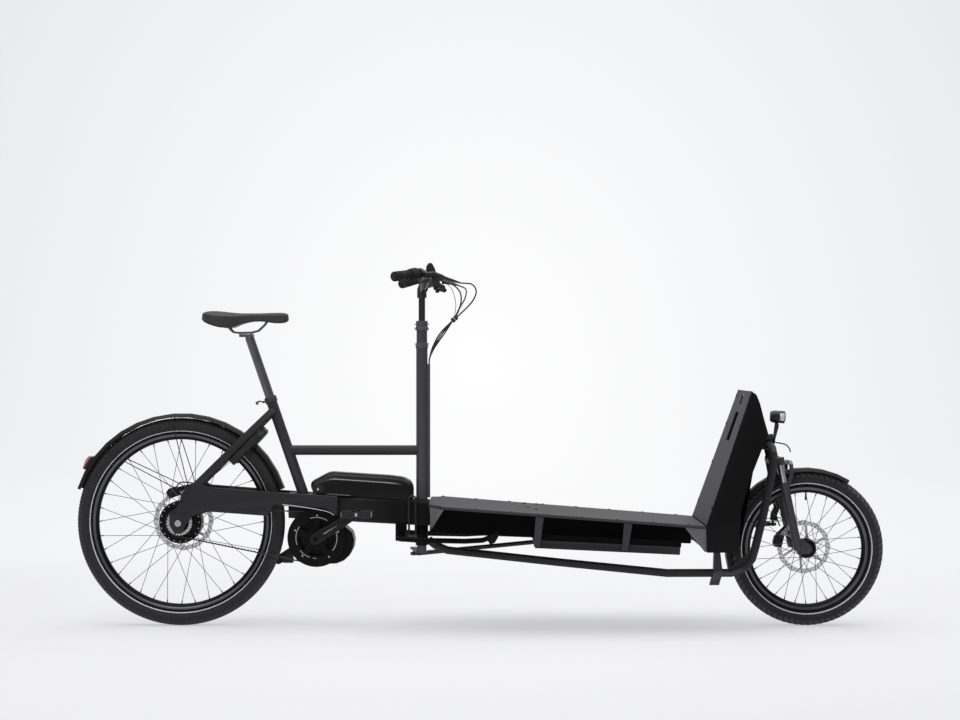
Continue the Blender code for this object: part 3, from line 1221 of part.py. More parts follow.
def column_steerer():
    """Inner steering column with its top sleeve and the arm that pulls the steering rod."""
    bm = bmesh.new()
    base = COLUMN_TOP + GAP
    top = COLUMN_TOP + SLEEVE_HEIGHT
    socket = STEM_TOP - STEM_INSERTED - 160 * MM
    profile = [(0, STEERER_BOTTOM), (STEERER_RADIUS, STEERER_BOTTOM), (STEERER_RADIUS, base),
               (SLEEVE_RADIUS + 3 * MM, base), (SLEEVE_RADIUS + 3 * MM, base + 8 * MM),
               (SLEEVE_RADIUS, base + 8 * MM), (SLEEVE_RADIUS, base + 50 * MM),
               (SLEEVE_RADIUS + 4 * MM, base + 50 * MM), (SLEEVE_RADIUS + 4 * MM, base + 60 * MM),
               (SLEEVE_RADIUS + 2 * MM, base + 62 * MM), (SLEEVE_RADIUS + 2 * MM, top), (STEM_BORE, top),
               (STEM_BORE, socket), (0, socket)]
    turned(bm, profile, (COLUMN_X, 0, 0), (0, 0, 1), 16, bored=False)
    made = make("column_steerer", bm, MATT_PAINT, (COLUMN_X, 0, COLUMN_TOP))
    arm = bmesh.new()
    ball = column_ball()
    level = STEERER_BOTTOM + 6 * MM
    sweep(arm, [(COLUMN_X - 6 * MM, -6 * MM, level), (ball.x, ball.y + 8 * MM, level)],
          rectangle(26 * MM, 9 * MM, 2 * MM))
    unite(made, arm, "column_arm")
    pin = bmesh.new()
    rod(pin, (ball.x, ball.y, ball.z - 7 * MM), (ball.x, ball.y, STEERER_BOTTOM + 4 * MM), 4 * MM, 12)
    unite(made, pin, "column_ball_pin")


def column_ball():
    """Centre of the joint between the column's arm and the steering rod."""
    return Vector((COLUMN_X - ROD_BALL_BACK, ROD_SIDE, STEERER_BOTTOM - 12 * MM))


def fork_ball():
    """Centre of the joint between the fork's arm and the steering rod."""
    level = FRONT_AXLE.z + 72 * MM
    axis_x = HEAD_POINT.x + (HEAD_POINT.z - level) * tan(HEAD_LEAN)
    return Vector((axis_x - ROD_BALL_BACK, ROD_SIDE, level))


def steering_rod():
    """Steering rod with an eye at each end, bowed outward past the front wheel."""
    rear, front = column_ball(), fork_ball()
    outer = ARM_BALL_RADIUS + 4 * MM
    bm = bmesh.new()
    for ball, clearance in ((rear, GAP), (front, 3 * MM)):
        inner = 4 * MM + clearance
        turned(bm, [(inner, -5 * MM), (outer, -5 * MM), (outer, 5 * MM), (inner, 5 * MM)], ball, (0, 0, 1), 12)
    made = make("steering_rod", bm, DARK_ALLOY, rear)
    tyre = FRONT_AXLE.x - FRONT_TYRE_RADIUS
    bed_end = bed_top(BED_FRONT_X)
    rib = RIB_POSITIONS[0]
    path = [rear + Vector((outer - 2 * MM, 0, 0)), (rib, ROD_SIDE, bed_top(rib) - 120.2 * MM),
            (tyre - 272 * MM, ROD_SIDE, bed_end - 52.2 * MM),
            (tyre - 142 * MM, ROD_SIDE + 24 * MM, bed_end - 43.2 * MM),
            (tyre - 32 * MM, ROD_BOW - 3 * MM, bed_end - 35.2 * MM),
            (tyre + 18 * MM, ROD_BOW, front.z - 12 * MM),
            (tyre + 60 * MM, ROD_BOW - 5 * MM, front.z - 8 * MM),
            (front.x - 46.7 * MM, ROD_SIDE + 24 * MM, front.z - 3 * MM),
            front + Vector((-outer + 2 * MM, 2 * MM, 0))]
    bar = bmesh.new()
    sweep(bar, path, circle(ROD_RADIUS, 8))
    trim = bmesh.new()
    for ball, clearance in ((rear, GAP), (front, 3 * MM)):
        rod(trim, ball - Vector((0, 0, 20 * MM)), ball + Vector((0, 0, 20 * MM)), 4 * MM + clearance, 12)
    unite(made, bar, "steering_rod_bar")
    cut(made, trim, "steering_rod_eyes")


def stem_tube():
    """Telescopic stem that slides in the column's sleeve."""
    bm = bmesh.new()
    rod(bm, (COLUMN_X, 0, STEM_TOP - STEM_INSERTED), (COLUMN_X, 0, STEM_TOP), STEM_RADIUS, 20)
    made = make("stem_tube", bm, ALLOY, (COLUMN_X, 0, COLUMN_TOP + SLEEVE_HEIGHT))
    clamp = bmesh.new()
    centre = bar_centre()
    rod(clamp, centre - Vector((0, 21 * MM, 0)), centre + Vector((0, 21 * MM, 0)), BAR_RADIUS + 6 * MM, 16)
    unite(made, clamp, "bar_clamp")
    post = bmesh.new()
    rod(post, (COLUMN_X, 0, STEM_TOP - 12 * MM), (COLUMN_X, 0, centre.z), STEM_RADIUS + 5 * MM, 16)
    unite(made, post, "bar_clamp_post")
    bore = bmesh.new()
    rod(bore, centre - Vector((0, 60 * MM, 0)), centre + Vector((0, 60 * MM, 0)),
        BAR_RADIUS + 2 * GAP, 16)
    cut(made, bore, "bar_bore")


def bar_centre():
    """Middle of the handlebar, where the stem clamps it."""
    return Vector((COLUMN_X + 4 * MM, 0, STEM_TOP + 20 * MM))


def grip_start(side):
    """Inner end of a grip."""
    centre = bar_centre()
    return Vector((centre.x - 16 * MM, side * (BAR_HALF_WIDTH - 122 * MM), centre.z + 40 * MM))


def grip_end(side):
    """Outer end of the bar."""
    centre = bar_centre()
    return Vector((centre.x - 86 * MM, side * (BAR_HALF_WIDTH - 3 * MM), centre.z + 26 * MM))


def grip_axis(side):
    """Unit vector along a grip, outward."""
    return (grip_end(side) - grip_start(side)).normalized()


def bar_path(side):
    """Half of the handlebar: straight through the clamp, up and forward, then straight back under the grip."""
    centre = bar_centre()
    axis = grip_axis(side)
    straight = grip_start(side) - axis * 46 * MM
    steps = 3
    knots = [centre + Vector((0, side * 14 * MM, 0)), centre + Vector((0, side * 38 * MM, 0)),
             centre + Vector((7 * MM, side * 68 * MM, 9 * MM)),
             centre + Vector((12 * MM, side * 108 * MM, 33 * MM)),
             straight, straight + axis * 24 * MM]
    bent = smooth_path(knots, steps)
    return bent[steps:-steps] + [grip_end(side)]


def handlebar():
    """Swept and raised handlebar."""
    bm = bmesh.new()
    sweep(bm, bar_path(-1)[::-1] + bar_path(1), circle(BAR_RADIUS, 8))
    make("handlebar", bm, DARK_ALLOY, (COLUMN_X, 0, COLUMN_TOP + SLEEVE_HEIGHT))


def tube_on_bar(bm, side, start, end, radius):
    """A sleeve round the straight part of the bar, between two distances from the grip's inner end."""
    turned(bm, [(BAR_BORE, start), (radius, start), (radius, end), (BAR_BORE, end)], grip_start(side),
           grip_axis(side), 16)


def grip(name, side, start):
    """A rubber grip; the right one is shorter and starts after the twist shifter."""
    bm = bmesh.new()
    tube_on_bar(bm, side, start, GRIP_LENGTH + 6 * MM, GRIP_RADIUS)
    make(name, bm, RUBBER, (COLUMN_X, 0, COLUMN_TOP + SLEEVE_HEIGHT))


def twist_shifter():
    """Twist grip that changes gear, inboard of the right grip."""
    bm = bmesh.new()
    turned(bm, [(BAR_BORE, 4 * MM), (21 * MM, 4 * MM), (21 * MM, 14 * MM), (18 * MM, 17 * MM),
                (17.5 * MM, SHIFTER_LENGTH), (BAR_BORE, SHIFTER_LENGTH)], grip_start(-1), grip_axis(-1), 16)
    make("twist_shifter", bm, RUBBER, grip_start(-1))


def lever_pivot(side):
    """Pivot of a brake lever, in front of its perch."""
    start = grip_start(side) - grip_axis(side) * 18 * MM
    return start + Vector((41 * MM, side * 4 * MM, -8 * MM))


def perch(name, side):
    """Brake lever perch with its fluid reservoir, clamped on the bar."""
    bm = bmesh.new()
    inner, outer = (grip_start(side) + grip_axis(side) * along for along in (-28 * MM, -10 * MM))
    rod(bm, inner, outer, 18 * MM)
    made = make(name, bm, PLASTIC, (COLUMN_X, 0, COLUMN_TOP + SLEEVE_HEIGHT))
    body = bmesh.new()
    start = grip_start(side) - grip_axis(side) * 19 * MM
    pivot = lever_pivot(side)
    sweep(body, [start + Vector((15.5 * MM, 0, -3 * MM)), pivot + Vector((-13 * MM, -side * 6 * MM, 4 * MM)),
                 pivot + Vector((4 * MM, -side * 26 * MM, 8 * MM))], rectangle(18 * MM, 18 * MM, 4 * MM))
    unite(made, body, name + "_body")
    bore = bmesh.new()
    rod(bore, inner - grip_axis(side) * 40 * MM, outer + grip_axis(side) * 20 * MM, BAR_BORE)
    cut(made, bore, name + "_bore")


def display():
    """Display with the two rings that hold it on the bar."""
    centre = bar_centre()
    bm = bmesh.new()
    outline = [(centre.x + x * MM, centre.z + z * MM) for x, z in ((8, 46), (45, 46), (40, 66), (31, 83), (20, 84),
                                                                   (12, 74))]
    side_plate(bm, outline, -32 * MM, 32 * MM)
    made = make("display", bm, PLASTIC, (COLUMN_X, 0, COLUMN_TOP + SLEEVE_HEIGHT))
    holder = bmesh.new()
    for side in (1, -1):
        turned(holder, [(BAR_BORE, -4 * MM), (BAR_RADIUS + 5 * MM, -4 * MM), (BAR_RADIUS + 5 * MM, 4 * MM),
                        (BAR_BORE, 4 * MM)], centre + Vector((0, side * 27 * MM, 0)), (0, 1, 0), 12)
    unite(made, holder, "display_rings")
    arms = bmesh.new()
    for side in (1, -1):
        box(arms, centre + Vector((2 * MM, side * 27 * MM - 3 * MM, 13 * MM)),
            centre + Vector((18 * MM, side * 27 * MM + 3 * MM, 54 * MM)))
    unite(made, arms, "display_arms")


def brake_lever(name, side):
    """Brake lever blade, hinged in front of its perch."""
    pivot = lever_pivot(side)
    along = grip_axis(side)
    bm = bmesh.new()
    knots = [pivot + Vector((-9 * MM, -side * 6 * MM, -11.4 * MM)),
             pivot + along * 28 * MM + Vector((8 * MM, 0, -12 * MM)),
             pivot + along * 70 * MM + Vector((6 * MM, 0, -13 * MM)),
             pivot + along * 96 * MM + Vector((9 * MM, 0, -15 * MM))]
    sweep(bm, smooth_path(knots, 3), rectangle(8 * MM, 12 * MM))
    make(name, bm, DARK_ALLOY, pivot)


def hose(bm, points, radius=HOSE_RADIUS, steps=2):
    """A hose along a smooth curve through its own route points."""
    sweep(bm, smooth_path(points, steps), circle(radius, 7), carried=True)


HOSE_TIE = Vector((COLUMN_X + 104 * MM, -6 * MM, 1024 * MM))


def hose_routes():
    """Upper loops of the hoses and cables: from each control forward, round and down to the tie."""
    right, left = lever_pivot(-1), lever_pivot(1)
    start_right = right + Vector((10 * MM, 38 * MM, 8 * MM))
    start_left = left + Vector((10 * MM, -38 * MM, 8 * MM))
    x, z = HOSE_TIE.x, HOSE_TIE.z
    return [
        [start_right, start_right + Vector((14 * MM, 14 * MM, 2 * MM)), (x + 59 * MM, -80 * MM, z + 118 * MM),
         (x + 78 * MM, -50 * MM, z + 92 * MM), (x + 71 * MM, -25 * MM, z + 62 * MM),
         (x + 40 * MM, -12 * MM, z + 32 * MM),
         (x + 8 * MM, -9 * MM, z + 3 * MM)],
        [start_left, start_left + Vector((14 * MM, -12 * MM, 2 * MM)), (x + 43 * MM, 70 * MM, z + 102 * MM),
         (x + 40 * MM, 40 * MM, z + 72 * MM), (x + 22 * MM, 16 * MM, z + 40 * MM),
         (x + 8 * MM, 2 * MM, z + 4 * MM)],
        [(x - 8 * MM, -30 * MM, z + 118 * MM), (x + 12 * MM, -34 * MM, z + 106 * MM),
         (x + 26 * MM, -30 * MM, z + 84 * MM), (x + 26 * MM, -16 * MM, z + 50 * MM),
         (x + 9 * MM, -3 * MM, z + 10 * MM)],
    ]


def cockpit_hoses():
    """Hose loops between the controls and the tie that bundles them."""
    bm = bmesh.new()
    rod(bm, HOSE_TIE + Vector((6 * MM, 0, 2 * MM)), HOSE_TIE + Vector((14 * MM, 0, 9 * MM)), 9 * MM, 12)
    made = make("cockpit_hoses", bm, RUBBER, (COLUMN_X, 0, COLUMN_TOP + SLEEVE_HEIGHT))
    for i, route in enumerate(hose_routes()):
        loop = bmesh.new()
        hose(loop, route)
        unite(made, loop, "hose_loop_" + str(i + 1))


def frame_hoses():
    """Hoses from the tie down into the cable cover."""
    x, z = HOSE_TIE.x, HOSE_TIE.z
    cover = Vector((COLUMN_X + COLUMN_RADIUS + 5 * MM, 0, COLUMN_TOP - 62 * MM + GAP))
    bm = bmesh.new()
    rod(bm, HOSE_TIE + Vector((5.6 * MM, 0, 1.6 * MM)), HOSE_TIE + Vector((-3 * MM, 0, -6 * MM)), 9 * MM, 12)
    made = make("frame_hoses", bm, RUBBER)
    for i, (shift, bulge) in enumerate(((-5.2 * MM, 0), (0, 7 * MM), (5.2 * MM, 14 * MM))):
        drop = bmesh.new()
        hose(drop, [(x + 1 * MM, shift, z - 2 * MM), (x - 28 * MM - bulge, shift, z - 46 * MM),
                    (x - 60 * MM - bulge / 2, shift * 0.95, z - 92 * MM),
                    (cover.x + 3 * MM, shift * 0.9, cover.z + 22 * MM), (cover.x, shift * 0.85, cover.z)])
        unite(made, drop, "hose_drop_" + str(i + 1))


def rear_hose():
    """Loop of the rear brake hose, from the calliper to the inside of the left chainstay."""
    top = rear_calliper_centre() + Vector((8 * MM, ROTOR_Y + 2 * MM, 14 * MM))
    side = STAY_Y - HOSE_RADIUS - 2 * GAP
    bm = bmesh.new()
    hose(bm, [top, top + Vector((7 * MM, 2 * MM, 14 * MM)),
              top + Vector((26 * MM, side - top.y - 1 * MM, 20 * MM)),
              REAR_AXLE + Vector((66 * MM, side, 118 * MM)), REAR_AXLE + Vector((110 * MM, side, 100 * MM)),
              REAR_AXLE + Vector((200 * MM, side, 92 * MM)), REAR_AXLE + Vector((300 * MM, side, 88 * MM))])
    return bm


# Fork

def fork_crown():
    """Fork steerer, crown, stanchions and the arm that the steering rod pulls."""
    bm = bmesh.new()
    rod(bm, fork_point(CROWN_HIGH - 8 * MM), fork_point(HEAD_TUBE_HIGH + 6 * MM), FORK_STEERER_RADIUS, 14)
    made = make("fork_crown", bm, DARK_ALLOY, HEAD_POINT)
    cap = bmesh.new()
    turned(cap, [(0, HEAD_TUBE_HIGH + GAP), (HEAD_TUBE_RADIUS + 2 * MM, HEAD_TUBE_HIGH + GAP),
                 (HEAD_TUBE_RADIUS, HEAD_TUBE_HIGH + 6 * MM), (0, HEAD_TUBE_HIGH + 8 * MM)], HEAD_POINT, FORK_UP, 16,
           bored=False)
    unite(made, cap, "steerer_cap")
    yoke = bmesh.new()
    bridge_low = CROWN_HIGH - 14 * MM
    outline = [fork_point(bridge_low, LEG_FORWARD + 15 * MM), fork_point(CROWN_HIGH, LEG_FORWARD + 15 * MM),
               fork_point(CROWN_HIGH, -15 * MM), fork_point(bridge_low, -15 * MM)]
    side_plate(yoke, [(p.x, p.z) for p in outline], -LEG_Y - 3 * MM, LEG_Y + 3 * MM)
    unite(made, yoke, "crown_bridge")
    tubes = bmesh.new()
    for side in (1, -1):
        turned(tubes, [(0, LOWERS_TOP - 100 * MM), (STANCHION_RADIUS, LOWERS_TOP - 100 * MM),
                       (STANCHION_RADIUS, CROWN_LOW), (STANCHION_RADIUS + 5 * MM, CROWN_LOW),
                       (STANCHION_RADIUS + 5 * MM, CROWN_HIGH + 2 * MM), (0, CROWN_HIGH + 2 * MM)],
               fork_point(0, LEG_FORWARD, side * LEG_Y), FORK_UP, 12, bored=False)
    unite(made, tubes, "stanchions")
    arm = bmesh.new()
    ball = fork_ball()
    sweep(arm, [fork_point(CROWN_HIGH - 9 * MM, LEG_FORWARD - 2 * MM, LEG_Y + 8 * MM),
                fork_point(CROWN_HIGH - 14 * MM, 0, LEG_Y + 24 * MM),
                (ball.x + 14 * MM, LEG_Y + 32 * MM, ball.z + 60 * MM),
                (ball.x + 3 * MM, ROD_SIDE - 2 * MM, ball.z + 33 * MM),
                (ball.x + 2 * MM, ROD_SIDE, ball.z + 13 * MM)], rectangle(12 * MM, 22 * MM), up=(1, 0, 0))
    unite(made, arm, "fork_arm")
    pin = bmesh.new()
    rod(pin, ball + Vector((0, 0, -7 * MM)), ball + Vector((0, 0, 19 * MM)), 4 * MM, 10)
    unite(made, pin, "fork_ball_pin")


def fork_lowers():
    """Lower legs with their arch over the tyre, the dropouts and the axle clamped in them."""
    foot = (FRONT_AXLE - HEAD_POINT).dot(FORK_UP) + 6 * MM
    forward = (FRONT_AXLE - HEAD_POINT).dot(FORK_FORWARD)
    bm = bmesh.new()
    for side in (1, -1):
        turned(bm, [(0, foot), (LEG_RADIUS - 4 * MM, foot), (LEG_RADIUS, foot + 4 * MM),
                    (LEG_RADIUS, LOWERS_TOP - 40 * MM), (LEG_RADIUS + 2.5 * MM, LOWERS_TOP - 14 * MM),
                    (LEG_RADIUS + 2.5 * MM, LOWERS_TOP), (0, LOWERS_TOP)],
               fork_point(0, LEG_FORWARD, side * LEG_Y), FORK_UP, 12, bored=False)
    made = make("fork_lowers", bm, MATT_PAINT, fork_point(LOWERS_TOP, LEG_FORWARD))
    plates = bmesh.new()
    inner, outer = LEG_Y - LEG_RADIUS + 0.5 * MM, LEG_Y - LEG_RADIUS + 9 * MM
    for side in (1, -1):
        low, high = sorted((side * inner, side * outer))
        outline = [fork_point(foot + 52 * MM, LEG_FORWARD - 6 * MM),
                   fork_point(foot + 2 * MM, LEG_FORWARD - 8 * MM),
                   fork_point(foot - 16 * MM, LEG_FORWARD + 8 * MM), fork_point(foot - 20 * MM, forward),
                   fork_point(foot - 8 * MM, forward + 13 * MM), fork_point(foot + 8 * MM, forward + 10 * MM),
                   fork_point(foot + 40 * MM, LEG_FORWARD + 12 * MM)]
        side_plate(plates, [(p.x, p.z) for p in outline], low, high)
    unite(made, plates, "dropouts")
    unite(made, fork_arch(), "fork_arch")
    bores = bmesh.new()
    for side in (1, -1):
        rod(bores, fork_point(LOWERS_TOP - 135 * MM, LEG_FORWARD, side * LEG_Y),
            fork_point(LOWERS_TOP + 60 * MM, LEG_FORWARD, side * LEG_Y), STANCHION_RADIUS + 2 * GAP, 12)
    cut(made, bores, "stanchion_bores")
    nut = outer - 1 * MM
    half = [(AXLE_RADIUS, nut), (10 * MM, nut), (10 * MM, nut + 6 * MM), (0, nut + 7 * MM)]
    axle = bmesh.new()
    turned(axle, [(r, -h) for r, h in reversed(half)] + half, FRONT_AXLE, (0, 1, 0), 12, bored=False)
    unite(made, axle, "front_axle")


def fork_arch():
    """Arch that joins the two lower legs in front of the crown."""
    top = FRONT_AXLE.z + FRONT_TYRE_RADIUS + FRONT_GUARD_CLEARANCE + 21 * MM
    x = fork_point(LOWERS_TOP, LEG_FORWARD).x + 26 * MM
    foot = LOWERS_TOP - 12 * MM
    path = [fork_point(foot, LEG_FORWARD + 12 * MM, -LEG_Y)]
    for y, drop in ((-LEG_Y + 2 * MM, 34 * MM), (-LEG_Y + 12 * MM, 8 * MM), (-LEG_Y + 30 * MM, 0),
                    (LEG_Y - 30 * MM, 0), (LEG_Y - 12 * MM, 8 * MM), (LEG_Y - 2 * MM, 34 * MM)):
        path.append(Vector((x, y, top - drop)))
    path.append(fork_point(foot, LEG_FORWARD + 12 * MM, LEG_Y))
    bm = bmesh.new()
    sweep(bm, path, rectangle(12 * MM, 12 * MM), up=(1, 0, 0))
    return bm


def calliper(name, centre, direction, inward, foot_y):
    """A brake calliper: two halves bridged over the rotor's edge, with its mounting foot out to foot_y."""
    low, high = ROTOR_Y - CALLIPER_WIDTH / 2, ROTOR_Y + CALLIPER_WIDTH / 2 - 1 * MM
    direction = Vector(direction).normalized()
    across = Vector((-direction.z, 0, direction.x))
    bm = bmesh.new()
    outline = [centre + direction * a + across * b for a, b in
               ((-16 * MM, -20 * MM), (10 * MM, -22 * MM), (17 * MM, -10 * MM), (17 * MM, 12 * MM),
                (8 * MM, 24 * MM), (-16 * MM, 20 * MM))]
    side_plate(bm, [(p.x, p.z) for p in outline], low, high)
    made = make(name, bm, DARK_ALLOY, centre)
    slot = bmesh.new()
    outline = [centre + direction * a + across * b for a, b in
               ((-30 * MM, -40 * MM), (6 * MM, -40 * MM), (6 * MM, 40 * MM), (-30 * MM, 40 * MM))]
    side_plate(slot, [(p.x, p.z) for p in outline], ROTOR_Y - 2 * MM, ROTOR_Y + 2 * MM)
    cut(made, slot, name + "_slot")
    foot = bmesh.new()
    outline = [centre + direction * a + across * b for a, b in inward]
    side_plate(foot, [(p.x, p.z) for p in outline], ROTOR_Y + 4 * MM, foot_y)
    unite(made, foot, name + "_foot")
    return made


def rear_calliper_centre():
    """Middle of the rear calliper, over the rotor's edge."""
    return REAR_AXLE + Vector((-33 * MM, 0, 95 * MM))


def rear_calliper():
    """Rear calliper on the left dropout, with its hose."""
    made = calliper("rear_calliper", rear_calliper_centre(), (-0.34, 0, 0.94),
                    ((-4 * MM, -18 * MM), (12 * MM, -20 * MM), (6 * MM, -68 * MM), (-12 * MM, -68 * MM)),
                    STAY_Y - GAP)
    unite(made, rear_hose(), "rear_hose")


def front_calliper():
    """Front calliper behind the left fork leg."""
    centre = FRONT_AXLE + Vector((-86 * MM, 0, 22 * MM))
    calliper("front_calliper", centre, (-0.97, 0, 0.25),
             ((-4 * MM, -18 * MM), (12 * MM, -20 * MM), (-12 * MM, -58 * MM), (-28 * MM, -48 * MM)),
             LEG_Y - LEG_RADIUS - GAP)


def guard_band(bm, axle, inner, start, end, count):
    """A mudguard: a shallow curved section carried round the tyre at an inner radius."""
    half = GUARD_WIDTH / 2
    section = [(-half, -10 * MM), (-half * 0.7, 0), (half * 0.7, 0), (half, -10 * MM)]
    rings = []
    for turn in np.linspace(start, end, count):
        out = Vector((cos(turn), 0, sin(turn)))
        ring = [axle + out * (inner + GUARD_SHEET + rise) + Vector((0, y, 0)) for y, rise in section]
        ring += [axle + out * (inner + rise) + Vector((0, y * 0.95, 0)) for y, rise in reversed(section)]
        rings.append(ring)
    loft(bm, rings)


def rear_mudguard():
    """Rear mudguard with its two pairs of wire stays."""
    bm = bmesh.new()
    guard_band(bm, REAR_AXLE, REAR_TYRE_RADIUS + REAR_GUARD_CLEARANCE, radians(18), radians(162), 16)
    made = make("rear_mudguard", bm, PLASTIC)
    wires = bmesh.new()
    outer = REAR_TYRE_RADIUS + REAR_GUARD_CLEARANCE
    for side in (1, -1):
        for turn, foot in ((radians(137), (26 * MM, 100 * MM)), (radians(95), (38 * MM, 110 * MM))):
            end = REAR_AXLE + Vector(((outer - 5 * MM) * cos(turn), side * (GUARD_WIDTH / 2 - 0.5 * MM),
                                      (outer - 5 * MM) * sin(turn)))
            start = REAR_AXLE + Vector((foot[0], side * (STAY_Y + STAY_THICKNESS + 2 * MM + GAP), foot[1]))
            bend = start + (end - start) * 0.22
            bend.y = start.y
            sweep(wires, [start, bend, end], circle(2 * MM, 4), up=(0, 1, 0))
    unite(made, wires, "rear_guard_stays")


def front_mudguard():
    """Front mudguard carried by the fork's arch, with a wire stay on each side."""
    bm = bmesh.new()
    guard_band(bm, FRONT_AXLE, FRONT_TYRE_RADIUS + FRONT_GUARD_CLEARANCE, radians(58), radians(196), 15)
    made = make("front_mudguard", bm, PLASTIC, FRONT_AXLE)
    wires = bmesh.new()
    outer = FRONT_TYRE_RADIUS + FRONT_GUARD_CLEARANCE
    leg = fork_point(-225 * MM, LEG_FORWARD - LEG_RADIUS - 1.1 * MM)
    for side in (1, -1):
        turn = radians(160)
        end = FRONT_AXLE + Vector(((outer - 5 * MM) * cos(turn), side * (GUARD_WIDTH / 2 - 0.5 * MM),
                                   (outer - 5 * MM) * sin(turn)))
        start = Vector((leg.x, side * LEG_Y, leg.z))
        sweep(wires, [start, end], circle(1.8 * MM, 4), up=(0, 1, 0))
    unite(made, wires, "front_guard_stays")


def rear_light():
    """Rear light on the back of the mudguard."""
    turn = radians(147.5)
    outer = REAR_TYRE_RADIUS + REAR_GUARD_CLEARANCE + GUARD_SHEET + GAP - 1.2 * MM
    out = Vector((cos(turn), 0, sin(turn)))
    along = Vector((-sin(turn), 0, cos(turn)))
    foot = REAR_AXLE + out * outer
    bm = bmesh.new()
    outline = [foot + along * a + out * b for a, b in
               ((-24 * MM, -0.2 * MM), (22 * MM, -0.2 * MM), (24 * MM, 12 * MM), (-4 * MM, 18 * MM),
                (-22 * MM, 16 * MM))]
    side_plate(bm, [(p.x, p.z) for p in outline], -22 * MM, 22 * MM)
    made = make("rear_light", bm, RED_LENS)
    soften(made, 2.5 * MM, 2)


def ring_lock():
    """Ring lock clipped under the seat stays, round the tyre and mudguard."""
    stay_top = seat_point(SEAT_TUBE_LENGTH - SEAT_STAY_HEAD_DROP)
    foot = Vector((REAR_AXLE.x + SEAT_STAY_FOOT_X, 0, REAR_AXLE.z + SEAT_STAY_FOOT_UP))
    down = (foot - stay_top).normalized()
    below = Vector((-down.z, 0, down.x))
    if below.z > 0:
        below = -below
    start = stay_top + below * (SEAT_STAY_WIDTH / 2 + 14.2 * MM)
    from_axle = start - REAR_AXLE
    reach = REAR_TYRE_RADIUS + LOCK_BEYOND_TYRE
    approach = from_axle.dot(down)
    centre = start - down * (approach + sqrt(approach ** 2 - from_axle.length_squared + reach ** 2))
    half = 50 * MM
    path = [centre + down * 98 * MM + Vector((0, half, 0))]
    for turn in np.linspace(0, pi, 9):
        path.append(centre + Vector((0, half * cos(turn), 0)) - down * (half * sin(turn)))
    path.append(centre + down * 98 * MM - Vector((0, half, 0)))
    bm = bmesh.new()
    sweep(bm, path, rectangle(20 * MM, 27 * MM, 5 * MM), up=below)
    make("ring_lock", bm, PLASTIC)


def headlight():
    """Front light on a bent strap ahead of the head tube."""
    pivot = headlight_pivot()
    bm = bmesh.new()
    turned(bm, [(0, -23 * MM), (17 * MM, -23 * MM), (21 * MM, -12 * MM), (21 * MM, 24 * MM),
                (16 * MM, 26 * MM), (0, 26 * MM)], pivot + Vector((2 * MM, 0, 27 * MM)), (1, 0, -0.06), 16,
           bored=False)
    made = make("headlight", bm, PLASTIC, pivot)
    neck = bmesh.new()
    rod(neck, pivot - Vector((0, 9 * MM, 0)), pivot + Vector((0, 9 * MM, 0)), 5 * MM, 12)
    unite(made, neck, "headlight_eye")
    post = bmesh.new()
    rod(post, pivot, pivot + Vector((0, 0, 12 * MM)), 6 * MM, 12)
    unite(made, post, "headlight_post")


def headlight_pivot():
    """Tilt axis of the front light."""
    return Vector((HEAD_POINT.x + 20 * MM, 0, HEAD_POINT.z + 96 * MM))


def light_bracket():
    """Forked strap from the head tube's top to the front light."""
    pivot = headlight_pivot()
    bm = bmesh.new()
    reach = HEAD_TUBE_RADIUS + 5 * MM
    foot = fork_point(HEAD_TUBE_HIGH - 12 * MM, reach)
    low = fork_point(HEAD_TUBE_HIGH - 26 * MM, HEAD_TUBE_RADIUS - 3 * MM)
    box(bm, (low.x, -13 * MM, low.z), (foot.x, 13 * MM, foot.z))
    for side in (1, -1):
        y_low, y_high = sorted((side * 9.6 * MM, side * 12.6 * MM))
        side_plate(bm, [(foot.x - 6 * MM, foot.z - 4 * MM), (foot.x - 1 * MM, foot.z - 6 * MM),
                        (pivot.x + 6 * MM, pivot.z - 4 * MM), (pivot.x + 5 * MM, pivot.z + 3 * MM),
                        (pivot.x - 5 * MM, pivot.z + 3 * MM)], y_low, y_high)
    return bm


# Stand

def stand_legs():
    """Two-legged stand: a pivot tube with a bent leg and a foot at each end."""
    bm = bmesh.new()
    half = STAND_HALF_WIDTH
    pivot = STAND_PIVOT
    path = [(315, 18), (300, 6), (272, -4), (215, -7), (65, -4), (24, -1), (6, 0)]
    right = [Vector((pivot.x + x * MM, -half, pivot.z + z * MM)) for x, z in path]
    left = [Vector((pivot.x + x * MM, half, pivot.z + z * MM)) for x, z in reversed(path)]
    corner_right = Vector((pivot.x, -half + 8 * MM, pivot.z))
    corner_left = Vector((pivot.x, half - 8 * MM, pivot.z))
    sweep(bm, [*right, corner_right, corner_left, *left], circle(STAND_TUBE_RADIUS, 8))
    made = make("stand_legs", bm, MATT_PAINT, pivot)
    feet = bmesh.new()
    for side in (1, -1):
        y = side * half
        side_plate(feet, [(pivot.x + x * MM, pivot.z + z * MM) for x, z in
                          ((284, 4), (296, -16), (312, -12), (324, 8), (322, 22), (306, 20))],
                   y - 13 * MM, y + 13 * MM)
    unite(made, feet, "stand_feet")


def stand_bail():
    """Wire bail beside the beam that holds the folded stand."""
    hinge = bail_hinge()
    bm = bmesh.new()
    half, height, radius = 11 * MM, 122 * MM, 4 * MM
    path = [hinge + Vector((-half, 0, 0))]
    for turn in np.linspace(pi, 0, 7):
        path.append(hinge + Vector((half * cos(turn), 0, height + half * sin(turn))))
    path.append(hinge + Vector((half, 0, 0)))
    sweep(bm, path, circle(radius, 6), up=(0, 1, 0))
    made = make("stand_bail", bm, MATT_PAINT, hinge)
    pin = bmesh.new()
    rod(pin, hinge - Vector((BAIL_PIN_HALF, 0, 0)), hinge + Vector((BAIL_PIN_HALF, 0, 0)), 5 * MM, 10)
    unite(made, pin, "bail_pin")


